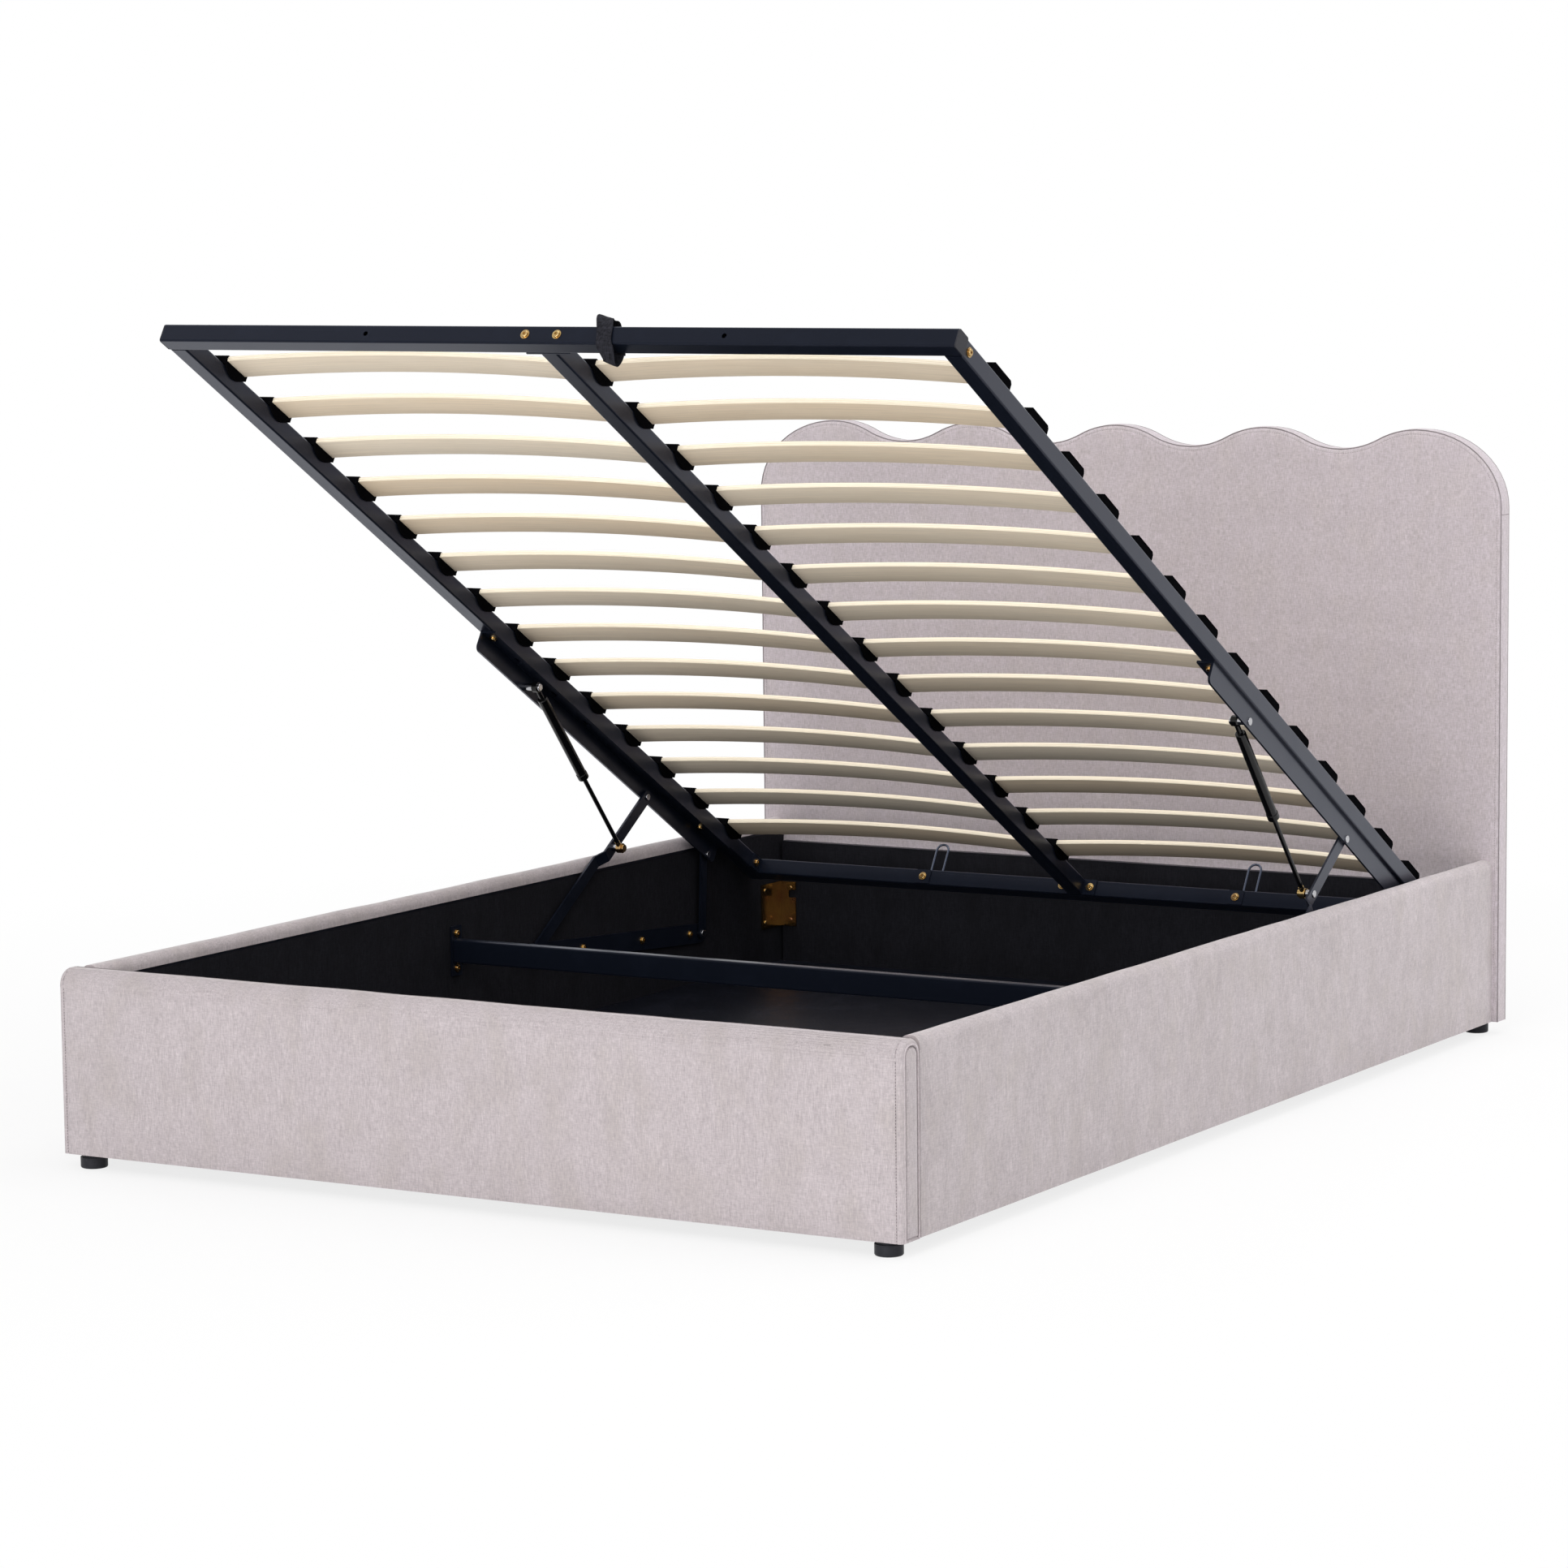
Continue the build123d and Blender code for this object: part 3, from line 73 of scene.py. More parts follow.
class BedCoverSettings(bpy.types.PropertyGroup):
    light: colour("Light pile", "Colour of the pile brushed towards the eye", (0.690, 0.620, 0.636))
    dark: colour("Dark pile", "Colour of the pile brushed away", (0.440, 0.390, 0.404))
    warm: colour("Warm pile", "Colour of the pile where it lies flat", (0.610, 0.548, 0.530))
    thread_pitch: length("Thread pitch", "Distance between the woven threads", 0.0016)
    puff: length("Puff", "How far the padding swells between its seams", 0.0022)
    crown_radius: length("Crown radius", "Rounding of the top of the footboard", 0.025)
    edge_radius: length("Edge radius", "Rounding of the padded edges of the rails", 0.014)
    end_radius: length("End radius", "Rounding of the ends of the footboard", 0.0075)
    piping_radius: length("Piping radius", "Radius of the rolled seam", 0.0016)
    border: length("Stitched border", "Distance from a seam to its row of top stitches", 0.0100)
    stitch_pitch: length("Stitch pitch", "Distance between two stitches", 0.0045)
    fabric_return: length("Fabric return", "Width of the fabric turned over on the inside", 0.025)
    valley_depth: length("Valley depth", "Depth of the waves of the headboard", 0.036)
    shoulder_run: length("Shoulder run", "Width of the round shoulder of the headboard", 0.160)
    shoulder_rise: length("Shoulder rise", "Height of the round shoulder of the headboard", 0.134)
    waves: bpy.props.IntProperty(name="Waves", description="Crests along the headboard", default=5,
                                 min=2)


class BedSlatSettings(bpy.types.PropertyGroup):
    wood: colour("Wood", "Colour of the veneer", (0.765, 0.610, 0.430))
    wood_grey: colour("Pale wood", "Colour of the palest veneers", (0.790, 0.695, 0.560))
    edge: colour("Ply edge", "Colour of the light layers in the edge", (0.93, 0.84, 0.68))
    edge_dark: colour("Ply glue lines", "Colour of the dark layers in the edge", (0.74, 0.60, 0.42))
    count: bpy.props.IntProperty(name="Slats", description="Slats in each column", default=14,
                                 min=1)
    first: length("First slat", "From the foot end to the middle of the first slat", 0.1525)
    pitch: length("Slat pitch", "Distance between slats", 0.1337)
    width: length("Slat width", "Width of a slat", 0.053)
    thickness: length("Slat thickness", "Thickness of a slat", 0.008)
    level: length("Slat level", "Underside of a slat's ends over the underside of the tubes", 0.034)
    crown: length("Slat crown", "Rise of the middle of a slat over its ends", 0.014)
    inner_end: length("Inner end", "From the middle of the bed to a slat", 0.006)
    outer_end: length("Outer end", "From the middle of the bed to a slat's outer end", 0.689)


class BedDeckSettings(bpy.types.PropertyGroup):
    angle: bpy.props.FloatProperty(name="Open angle", description="Tilt of the raised deck",
                                   default=radians(31.08), subtype="ANGLE")
    pivot_distance: length("Pivot distance", "From the foot end to the arm's front pivot", 1.613)
    pivot_depth: length("Pivot depth", "Front pivot of the arm under the tubes", 0.029)
    tube: length("Tube", "Side of the square tube", 0.030)
    strap_x: length("Strap place", "Middle of the pull strap to the right of the middle", 0.112)
    strap_width: length("Strap width", "Width of the pull strap's webbing", 0.026)
    strap_thickness: length("Strap thickness", "Thickness of the webbing", 0.0022)
    strap_half_height: length("Strap half height", "Half the height of the strap's loop", 0.0372)
    strap_half_depth: length("Strap half depth", "Half the depth of the strap's loop", 0.0190)
    strap_lean: length("Strap lean", "How far the top of the loop leans to the left", 0.0125)


class BedFinishSettings(bpy.types.PropertyGroup):
    steel: colour("Steel paint", "Satin powder coat", (0.0060, 0.0080, 0.0135))
    zinc: colour("Yellow zinc", "Plating of bolts and corner brackets", (0.500, 0.350, 0.150))
    zinc_tint: colour("Zinc tint", "Rosy places of the plating", (0.300, 0.150, 0.085))
    bright: colour("Bright steel", "Rivets and studs", (0.46, 0.46, 0.48))
    plastic: colour("Plastic", "Holders, plugs and feet", (0.0280, 0.0282, 0.0340))
    lining: colour("Lining", "Cloth on the inner sides", (0.0062, 0.0062, 0.0085))
    board: colour("Board", "Faced particle board", (0.0050, 0.0056, 0.0094))
    webbing: colour("Webbing", "Woven strap", (0.0040, 0.0040, 0.0052))
    backdrop: colour("Backdrop", "Floor and background", (0.90, 0.90, 0.90))


SETTINGS = {
    "bed_covers": BedCoverSettings,
    "bed_slats": BedSlatSettings,
    "bed_deck": BedDeckSettings,
    "bed_finish": BedFinishSettings,
}


# Shader node helpers


def feed(tree, socket, value):
    """Links a socket to another one or sets its value, where a colour may leave out its alpha."""
    if isinstance(value, bpy.types.NodeSocket):
        tree.links.new(value, socket)
    elif socket.type == "RGBA" and len(value) == 3:
        socket.default_value = (*value, 1)
    else:
        socket.default_value = value


def add_node(tree, kind, values=None, **settings):
    """A node with its settings, its inputs set or linked by name or index."""
    made = tree.nodes.new(kind)
    for name, value in settings.items():
        setattr(made, name, value)
    for name, value in (values or {}).items():
        feed(tree, made.inputs[name], value)
    return made


def math_node(tree, operation, *values, clamp=False):
    return add_node(tree, "ShaderNodeMath", dict(enumerate(values)), operation=operation,
                    use_clamp=clamp).outputs[0]


def mapped(tree, vector, scale):
    return add_node(tree, "ShaderNodeMapping", {"Vector": vector, "Scale": scale}).outputs["Vector"]


def enlarged(tree, vector, factor):
    """A vector times the value of another socket."""
    return add_node(tree, "ShaderNodeVectorMath", {0: vector, "Scale": factor},
                    operation="SCALE").outputs[0]


def noise_value(tree, vector, scale, detail=2.0, roughness=0.5):
    made = add_node(tree, "ShaderNodeTexNoise",
                    {"Vector": vector, "Scale": scale, "Detail": detail, "Roughness": roughness})
    return made.outputs["Fac"]


def ranged(tree, value, low, high, to_low=0.0, to_high=1.0):
    """A value between low and high, spread over another range."""
    made = add_node(tree, "ShaderNodeMapRange", {"Value": value, "From Min": low, "From Max": high,
                                                 "To Min": to_low, "To Max": to_high})
    return made.outputs["Result"]


def mixed(tree, factor, first, second, blend="MIX"):
    """A mix of two colours by a factor."""
    made = add_node(tree, "ShaderNodeMix", data_type="RGBA", blend_type=blend)
    sockets = {socket.identifier: socket for socket in (*made.inputs, *made.outputs)}
    for name, value in (("Factor_Float", factor), ("A_Color", first), ("B_Color", second)):
        feed(tree, sockets[name], value)
    return sockets["Result_Color"]


def new_group(name, inputs, outputs):
    """An empty node group with named sockets, and its input sockets and output node."""
    tree = bpy.data.node_groups.new(name, "ShaderNodeTree")
    kinds = {"colour": "NodeSocketColor", "value": "NodeSocketFloat", "vector": "NodeSocketVector"}
    for label, kind in inputs:
        tree.interface.new_socket(label, in_out="INPUT", socket_type=kinds[kind])
    for label, kind in outputs:
        tree.interface.new_socket(label, in_out="OUTPUT", socket_type=kinds[kind])
    return tree, tree.nodes.new("NodeGroupInput").outputs, tree.nodes.new("NodeGroupOutput")


LOOK_SOCKETS = [("Colour", "colour"), ("Height", "value"), ("Roughness", "value")]


def put_out(tree, result, colour_socket, height, roughness):
    """Links what a group puts out."""
    for name, socket in zip(("Colour", "Height", "Roughness"), (colour_socket, height, roughness)):
        tree.links.new(socket, result.inputs[name])


def pile_group():
    """Brushed pile: short threads both ways, grains, and soft brushed patches of two tints."""
    tree, source, result = new_group(
        "Brushed pile",
        [("Vector", "vector"), ("Light", "colour"), ("Dark", "colour"), ("Warm", "colour"),
         ("Threads", "value"), ("Patches", "value")],
        LOOK_SOCKETS)
    threads = enlarged(tree, source["Vector"], source["Threads"])
    upright = noise_value(tree, mapped(tree, threads, (1.25, 1.25, 0.16)), 1.0, 1.0)
    level = noise_value(tree, mapped(tree, threads, (0.20, 0.20, 1.2)), 1.0, 1.0)
    grains = noise_value(tree, threads, 1.1, 1.0)
    strands = noise_value(tree, mapped(tree, threads, (0.40, 0.40, 0.10)), 1.0, 2.0)
    weave = math_node(tree, "MULTIPLY", upright, 0.42)
    for layer, part in ((level, 0.27), (grains, 0.10), (strands, 0.16)):
        weave = math_node(tree, "MULTIPLY_ADD", layer, part, weave)
    broad = noise_value(tree, source["Vector"], 5.5, 3.0, 0.55)
    strokes = noise_value(tree, mapped(tree, source["Vector"], (38.0, 38.0, 16.0)), 1.0, 3.0, 0.65)
    brushed = math_node(tree, "MULTIPLY_ADD", strokes, 0.60,
                        math_node(tree, "MULTIPLY", broad, 0.40))
    patches = math_node(tree, "MULTIPLY", math_node(tree, "SUBTRACT", brushed, 0.5),
                        source["Patches"])
    tone = math_node(tree, "ADD", ranged(tree, weave, 0.31, 0.64), patches, clamp=True)
    flat = noise_value(tree, mapped(tree, source["Vector"], (21.0, 21.0, 12.0)), 1.0, 2.0)
    warmth = math_node(tree, "MULTIPLY", ranged(tree, flat, 0.45, 0.70), 0.75, clamp=True)
    light = mixed(tree, warmth, source["Light"], source["Warm"])
    put_out(tree, result, mixed(tree, tone, source["Dark"], light), weave,
            ranged(tree, tone, 0.0, 1.0, 0.95, 0.78))
    return tree


def coat_group():
    """Powder coat or moulding: fine orange peel and places rubbed to another tint."""
    tree, source, result = new_group(
        "Satin coat",
        [("Vector", "vector"), ("Base", "colour"), ("Worn", "colour"), ("Peel", "value"),
         ("Wear", "value"), ("Matt", "value")],
        LOOK_SOCKETS)
    fine = noise_value(tree, enlarged(tree, source["Vector"], source["Peel"]), 1.0, 2.0)
    broad = noise_value(tree, source["Vector"], 14.0, 4.0, 0.6)
    rubbed = math_node(tree, "MULTIPLY", ranged(tree, broad, 0.50, 0.75), source["Wear"],
                       clamp=True)
    rough = math_node(tree, "MULTIPLY_ADD", rubbed, 0.12, ranged(tree, fine, 0.2, 0.8, -0.04, 0.04))
    put_out(tree, result, mixed(tree, rubbed, source["Base"], source["Worn"]), fine,
            math_node(tree, "ADD", rough, source["Matt"]))
    return tree


def ply_group():
    """Birch ply: long grain on the faces and dark glue lines in the edges."""
    tree, source, result = new_group(
        "Bowed ply",
        [("Place", "vector"), ("Tone", "value"), ("Half width", "value"), ("Warm", "colour"),
         ("Grey", "colour"), ("Edge", "colour"), ("Glue", "colour")],
        LOOK_SOCKETS)
    parts = add_node(tree, "ShaderNodeSeparateXYZ", {0: source["Place"]}).outputs
    long_grain = noise_value(tree, mapped(tree, source["Place"], (5.0, 330.0, 60.0)), 1.0, 3.0, 0.6)
    pores = noise_value(tree, mapped(tree, source["Place"], (26.0, 1100.0, 90.0)), 1.0, 1.0)
    clouds = noise_value(tree, mapped(tree, source["Place"], (7.0, 24.0, 8.0)), 1.0, 2.0)
    tint = math_node(tree, "ADD", source["Tone"], math_node(tree, "MULTIPLY", clouds, 0.35),
                     clamp=True)
    shade = math_node(tree, "ADD", ranged(tree, long_grain, 0.3, 0.7, 0.90, 1.05),
                      ranged(tree, pores, 0.25, 0.5, -0.07, 0.0))
    dull = add_node(tree, "ShaderNodeCombineColor", {0: shade, 1: shade, 2: shade}).outputs[0]
    face = mixed(tree, 1.0, mixed(tree, tint, source["Warm"], source["Grey"]), dull, "MULTIPLY")
    layer = math_node(tree, "PINGPONG", math_node(tree, "MULTIPLY", parts[2], 5.5), 1.0)
    waver = math_node(tree, "MULTIPLY", math_node(tree, "SUBTRACT", clouds, 0.5), 0.5)
    glue = ranged(tree, math_node(tree, "ADD", layer, waver), 0.62, 0.95)
    inner = math_node(tree, "SUBTRACT", source["Half width"], 0.0009)
    in_edge = math_node(tree, "GREATER_THAN", math_node(tree, "ABSOLUTE", parts[1]), inner)
    layers = mixed(tree, glue, source["Edge"], source["Glue"])
    put_out(tree, result, mixed(tree, in_edge, face, layers), long_grain,
            ranged(tree, long_grain, 0.2, 0.8, 0.46, 0.62))
    return tree


GROUP_MAKERS = {"pile": pile_group, "coat": coat_group, "ply": ply_group}
GROUPS = {}


def shared_group(name):
    """A node group of the finishes, made the first time that it is asked for."""
    if name not in GROUPS:
        GROUPS[name] = GROUP_MAKERS[name]()
    return GROUPS[name]


def surface(name, group, values, relief, strength, attributes=None, **shader_values):
    """A material whose colour, roughness and bumps come from a shared group.

    The bumps are as high as relief, times strength. The group reads Object coordinates, or the
    mesh attributes that are given for its inputs, each with the output to take.
    """
    material = bpy.data.materials.new(name)
    material.use_nodes = True
    tree = material.node_tree
    shader = tree.nodes["Principled BSDF"]
    for label, value in shader_values.items():
        shader.inputs[label.replace("_", " ")].default_value = value
    if attributes is None:
        places = {"Vector": add_node(tree, "ShaderNodeTexCoord").outputs["Object"]}
    else:
        places = {
            label: add_node(tree, "ShaderNodeAttribute", attribute_name=source).outputs[output]
            for label, (source, output) in attributes.items()}
    look = add_node(tree, "ShaderNodeGroup", {**places, **values},
                    node_tree=shared_group(group)).outputs
    bump = add_node(tree, "ShaderNodeBump", {"Height": look["Height"], "Distance": relief,
                                             "Strength": strength})
    tree.links.new(look["Colour"], shader.inputs["Base Color"])
    tree.links.new(look["Roughness"], shader.inputs["Roughness"])
    tree.links.new(bump.outputs["Normal"], shader.inputs["Normal"])
    return material


# Finishes

CLOTH_INPUTS = ("Light", "Dark", "Warm", "Threads", "Patches")
COAT_INPUTS = ("Base", "Worn", "Peel", "Wear", "Matt")
PILE_SHADER = {"Sheen_Weight": 0.30, "Sheen_Roughness": 0.45, "Specular_IOR_Level": 0.12}
STEEL_SHADER = {"Specular_Tint": (0.86, 0.79, 1.0, 1.0), "Coat_Weight": 0.9, "Coat_IOR": 1.12,
                "Coat_Roughness": 0.20, "Coat_Tint": (0.92, 0.95, 1.0, 1.0)}
BOARD_SHADER = {"Specular_IOR_Level": 0.26, "Specular_Tint": (0.72, 0.78, 1.0, 1.0)}
WIRE_SHADER = {"Metallic": 0.7, "Coat_Weight": 0.5, "Coat_Roughness": 0.1}
PAINTED_SHADE = 0.92  # painted shade: the footboard's and rails' tints are those of the settings darkened by this factor, so they stand darker than the headboard
HEADBOARD_PAINTED_LIGHT = (1.01, 1.01, 1.06)  # painted light: the headboard's light tint made a little lighter and bluer than that of the settings


def scaled(tint, factor):
    """A tint made lighter or darker by one factor."""
    return tuple(value * factor for value in tint)


def cloths(covers, finish):
    """Values of each cloth.

    They are its light, dark and warm tint, threads to the metre, strength of its patches, relief
    and that relief's strength, and the values of its shader.
    """
    light, dark, warm = tuple(covers.light), tuple(covers.dark), tuple(covers.warm)
    # the headboard's light tint, with painted light
    headboard_painted_light = tuple(value * factor for value, factor in zip(light, HEADBOARD_PAINTED_LIGHT))
    # the footboard's and rails' tints, with painted shade
    shaded = [scaled(tint, PAINTED_SHADE) for tint in (light, dark, warm)]
    # painted shade: the dark tint of the lines laid along the seams, which the stitches share
    shadow = scaled(dark, 0.42)
    lining, webbing = tuple(finish.lining), tuple(finish.webbing)
    threads = 1 / covers.thread_pitch
    return {
        "headboard_pile": (headboard_painted_light, dark, light, threads, 0.40, 0.0006, 0.35, PILE_SHADER),
        "footboard_pile": (*shaded, threads, 0.45, 0.0006, 0.35, PILE_SHADER),
        "brushed_pile": (*shaded, threads * 0.9, 1.15, 0.0008, 0.40, PILE_SHADER),
        # painted highlight: the footboard's piping keeps the settings' light tint, paler than its
        # painted-shade cover, as a bright rim
        "pale_seam": (light, dark, light, threads * 1.6, 0.4, 0.0004, 0.25, PILE_SHADER),
        # stitches, and dark tubes laid in the seams as painted shade lines
        "seam_thread": (dark, shadow, shadow, threads * 3, 0.2, 0.0002, 0.3,
                        {"Specular_IOR_Level": 0.2}),
        "black_lining": (scaled(lining, 2.0), lining, lining, threads * 0.9, 0.9, 0.0004, 0.35,
                         {"Specular_IOR_Level": 0.14}),
        "strap_webbing": (scaled(webbing, 7.0), webbing, webbing, threads * 0.55, 0.1, 0.0012, 1.0,
                          {"Specular_IOR_Level": 0.10}),
    }


def coats(finish):
    """Values of each coat.

    They are its base and worn tint, grains of orange peel to the metre, wear, roughness, relief
    and that relief's strength, and the values of its shader.
    """
    steel, plastic, board = tuple(finish.steel), tuple(finish.plastic), tuple(finish.board)
    zinc, rosy, bright = tuple(finish.zinc), tuple(finish.zinc_tint), tuple(finish.bright)
    # painted shade: the holders take the plastic at 0.12 of its tint and without reflections, as
    # they sit in shade under the slats
    gloss, holder, wire = scaled(plastic, 0.08), scaled(plastic, 0.12), scaled(steel, 6)
    return {
        "satin_steel": (steel, scaled(steel, 1.5), 1500.0, 0.5, 0.32, 0.00015, 0.18, STEEL_SHADER),
        "gloss_black": (gloss, scaled(gloss, 1.6), 900.0, 0.2, 0.08, 0.00005, 0.05,
                        {"Specular_IOR_Level": 0.30}),
        "black_plastic": (plastic, scaled(plastic, 1.7), 900.0, 0.6, 0.40, 0.0002, 0.35,
                          {"Specular_IOR_Level": 0.12}),
        "holder_plastic": (holder, scaled(holder, 1.5), 900.0, 0.6, 0.60, 0.0002, 0.2,
                           {"Specular_IOR_Level": 0.0}),
        "faced_board": (board, scaled(board, 1.6), 420.0, 0.8, 0.36, 0.0003, 0.3, BOARD_SHADER),
        "yellow_zinc": (zinc, rosy, 520.0, 1.0, 0.15, 0.0001, 0.35, {"Metallic": 1.0}),
        "wire_enamel": (wire, scaled(wire, 0.8), 1500.0, 0.5, 0.16, 0.0001, 0.15, WIRE_SHADER),
        "bright_steel": (bright, scaled(bright, 0.8), 1600.0, 0.7, 0.15, 0.0001, 0.2,
                         {"Metallic": 1.0}),
    }


def shine_at_shallow_angles(material):
    """Lets the steel's paint reflect more where it is seen from the side."""
    tree = material.node_tree
    facing = add_node(tree, "ShaderNodeLayerWeight", {"Blend": 0.5}).outputs["Facing"]
    tree.links.new(ranged(tree, facing, 0.25, 0.60, 0.08, 0.40),
                   tree.nodes["Principled BSDF"].inputs["Specular IOR Level"])


def new_finish(name):
    """Makes the cloth or the coat of this name."""
    scene = bpy.context.scene
    cloth = cloths(scene.bed_covers, scene.bed_finish).get(name)
    coat = coats(scene.bed_finish).get(name)
    if cloth is None and coat is None:
        raise ValueError(f"there is no finish named {name}")
    group, labels = ("pile", CLOTH_INPUTS) if cloth else ("coat", COAT_INPUTS)
    *values, relief, strength, shader_values = cloth or coat
    made = surface(name, group, dict(zip(labels, values)), relief, strength, **shader_values)
    if name == "satin_steel":
        shine_at_shallow_angles(made)
    return made


FINISHES = {}


def material_named(name):
    """A finish of the bed, made the first time that it is asked for."""
    if name not in FINISHES:
        FINISHES[name] = new_finish(name)
    return FINISHES[name]


# Mesh helpers

TOUCH = 1e-4  # how near a vertex lies to what it belongs to
CUT = 1e-6  # how near a plane takes a vertex in place of a new cut


def only(items, kind):
    """The items of one kind, as a list."""
    return [item for item in items if isinstance(item, kind)]


def keep_piece(name, mesh, body, material, nodes=(), smooth=35):
    """Links a mesh as a piece that rides on a body and may stand for CAD nodes."""
    mesh.name = name
    piece = bpy.data.objects.new(name, mesh)
    bpy.context.scene.collection.objects.link(piece)
    mesh.materials.clear()
    mesh.materials.append(material_named(material))
    mesh.shade_smooth()
    mesh.set_sharp_from_angle(angle=radians(smooth))
    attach(piece, body)
    if nodes:
        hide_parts(*nodes)
    return piece


def keep_trim(name, mesh, material):
    """Keeps a seam or a row of stitches of the base's covers."""
    keep_piece(name, mesh, "base", material)


def keep_cover(name, made, material, node):
    """Keeps a padded cover of the base in place of the CAD's upholstery."""
    cover = keep_piece(name, mesh_from(made), "base", material, (node,), smooth=50)


def mesh_from(made):
    """The mesh of a bmesh, which is freed."""
    mesh = bpy.data.meshes.new("made")
    made.to_mesh(mesh)
    made.free()
    return mesh


def bevelled(made, edges, radius, segments):
    """Rounds some edges of a mesh."""
    bmesh.ops.bevel(made, geom=list(edges), offset=radius, offset_type="OFFSET", segments=segments,
                    profile=0.5, affect="EDGES", material=-1, clamp_overlap=False)


def block(low, high):
    """A box between two corners."""
    made = bmesh.new()
    bmesh.ops.create_cube(made, size=1)
    bmesh.ops.scale(made, vec=Vector(high) - Vector(low), verts=made.verts)
    bmesh.ops.translate(made, vec=(Vector(low) + Vector(high)) / 2, verts=made.verts)
    return made


def cut(made, place, normal):
    """Cuts all faces along a plane and keeps both sides."""
    geometry = made.verts[:] + made.edges[:] + made.faces[:]
    bmesh.ops.bisect_plane(made, geom=geometry, dist=CUT, plane_co=place, plane_no=normal)


def sliced(made, low, high, steps):
    """Cuts a mesh into cells by even planes along each axis."""
    for axis in range(3):
        normal = Vector((axis == 0, axis == 1, axis == 2))
        for step in range(1, steps[axis]):
            cut(made, normal * (low[axis] + (high[axis] - low[axis]) * step / steps[axis]), normal)


def ripple(point, scale, seed):
    """Smooth repeatable noise between minus one and one."""
    return noise.noise(Vector(point) * scale + Vector((seed, seed * 2, seed * 3)))


def rippled(point, layers):
    """The sum of ripples, each with its height, scale and seed."""
    return sum(height * ripple(point, scale, seed) for height, scale, seed in layers)


def dome(part):
    """A half ellipse, nought at both ends of the way and one in its middle."""
    return sqrt(max(0.0, 4 * part * (1 - part)))


def tube_mesh(paths, radius):
    """One mesh of round tubes along open paths."""
    curve = bpy.data.curves.new("tubes", "CURVE")
    curve.dimensions = "3D"
    curve.bevel_depth = radius
    curve.bevel_resolution = 2
    curve.use_fill_caps = True
    for points in paths:
        spline = curve.splines.new("POLY")
        spline.points.add(len(points) - 1)
        for point, place in zip(spline.points, points):
            point.co = (*place, 1)
    holder = bpy.data.objects.new("tubes", curve)
    bpy.context.scene.collection.objects.link(holder)
    evaluated = holder.evaluated_get(bpy.context.evaluated_depsgraph_get())
    mesh = bpy.data.meshes.new_from_object(evaluated)
    bpy.data.objects.remove(holder)
    return mesh


def resampled(points, step):
    """Points at even steps along a path, each with its direction."""
    found, left = [], 0.0
    for start, end in zip(points, points[1:]):
        start, end = Vector(start), Vector(end)
        run = (end - start).length
        while left < run:
            found.append((start.lerp(end, left / run), (end - start).normalized()))
            left += step
        left -= run
    return found


STITCH_SHARE = 0.36  # half a stitch's length as a share of the pitch


def stitch_mesh(paths, pitch, radius):
    """A row of short rounded stitches along each path."""
    made = bmesh.new()
    stretch = Matrix.Diagonal((1, 1, pitch * STITCH_SHARE / radius, 1))
    for points in paths:
        for place, direction in resampled(points, pitch):
            turn = direction.to_track_quat("Z", "Y").to_matrix().to_4x4()
            bmesh.ops.create_icosphere(made, subdivisions=1, radius=radius,
                                       matrix=Matrix.Translation(place) @ turn @ stretch)
    return mesh_from(made)


# Covers of the base


def loop_path(face):
    """The corners of a face in order, as points."""
    return [loop.vert.co.copy() for loop in face.loops]


def open_at_bottom(points, floor):
    """An outline as a path that starts and ends at its lowest edge."""
    count = len(points)
    start = next(index for index in range(count)
                 if points[index].z < floor and points[(index + 1) % count].z > floor)
    turned = points[start:] + points[:start]
    return turned if turned[1].z > turned[-1].z or turned[-1].z < floor else list(reversed(turned))


def groove(made, face, steps):
    """Insets a face again and again, each time by a width and a rise."""
    for width, rise in steps:
        bmesh.ops.inset_region(made, faces=[face], thickness=width, depth=rise,
                               use_even_offset=True, use_boundary=True)


# Widths and rises of the seams, from the rim of the face that is sewn in towards its middle
STRIP_ROLL = ((0.0006, -0.0006),)
STRIP_VALLEY = ((0.0024, -0.0012),)
STRIP_FACE = ((0.0012, -0.0014), (0.0012, 0.0030), (0.0035, 0.0016), (0.0060, 0.0005))
PANEL_ROLL = ((0.0008, -0.0010), (0.0008, 0.0016), (0.0018, 0.0009), (0.0030, 0.0003))
PANEL_VALLEY = (0.0010, -0.0003)
PANEL_FACE = ((0.0010, 0.0004), (0.006, 0.0002), (0.012, 0.0001))
PANEL_ROLL_REACH = 0.0098  # taken off the stitched border

# Height, scale and seed of the ripples in the stretched cloth
FRONT_RIPPLES = ((0.0009, 5.0, 1.7), (0.0004, 17.0, 4.1))
CROWN_RIPPLES = ((0.0011, 9.0, 8.3),)
RAIL_RIPPLES = ((0.0010, 4.0, 2.3), (0.0005, 15.0, 5.9))
RAIL_TOP_RIPPLES = ((0.0012, 8.0, 3.1),)

STITCH_RADIUS = 0.0007
FINE_STITCH_RADIUS = 0.0004
PULLED_IN = 0.0007  # depth of a row of stitches in the cover
PULLED_HALF = 0.0014  # half the width of the cover that it pulls in
STITCH_START = 0.004  # lowest stitch over the cover's lower edge
END_EDGE_BAND = 0.01  # points this near the lower edge belong to it
LINING_LAP = 0.001  # of the lining over the cover's cut edge
SEAM_SHADE_SHARE = 0.45  # radius of the dark painted-shade line in the seam as a share of the piping's
THIN_PIPING_SHARE = 0.5  # the headboard's piping beside the footboard's

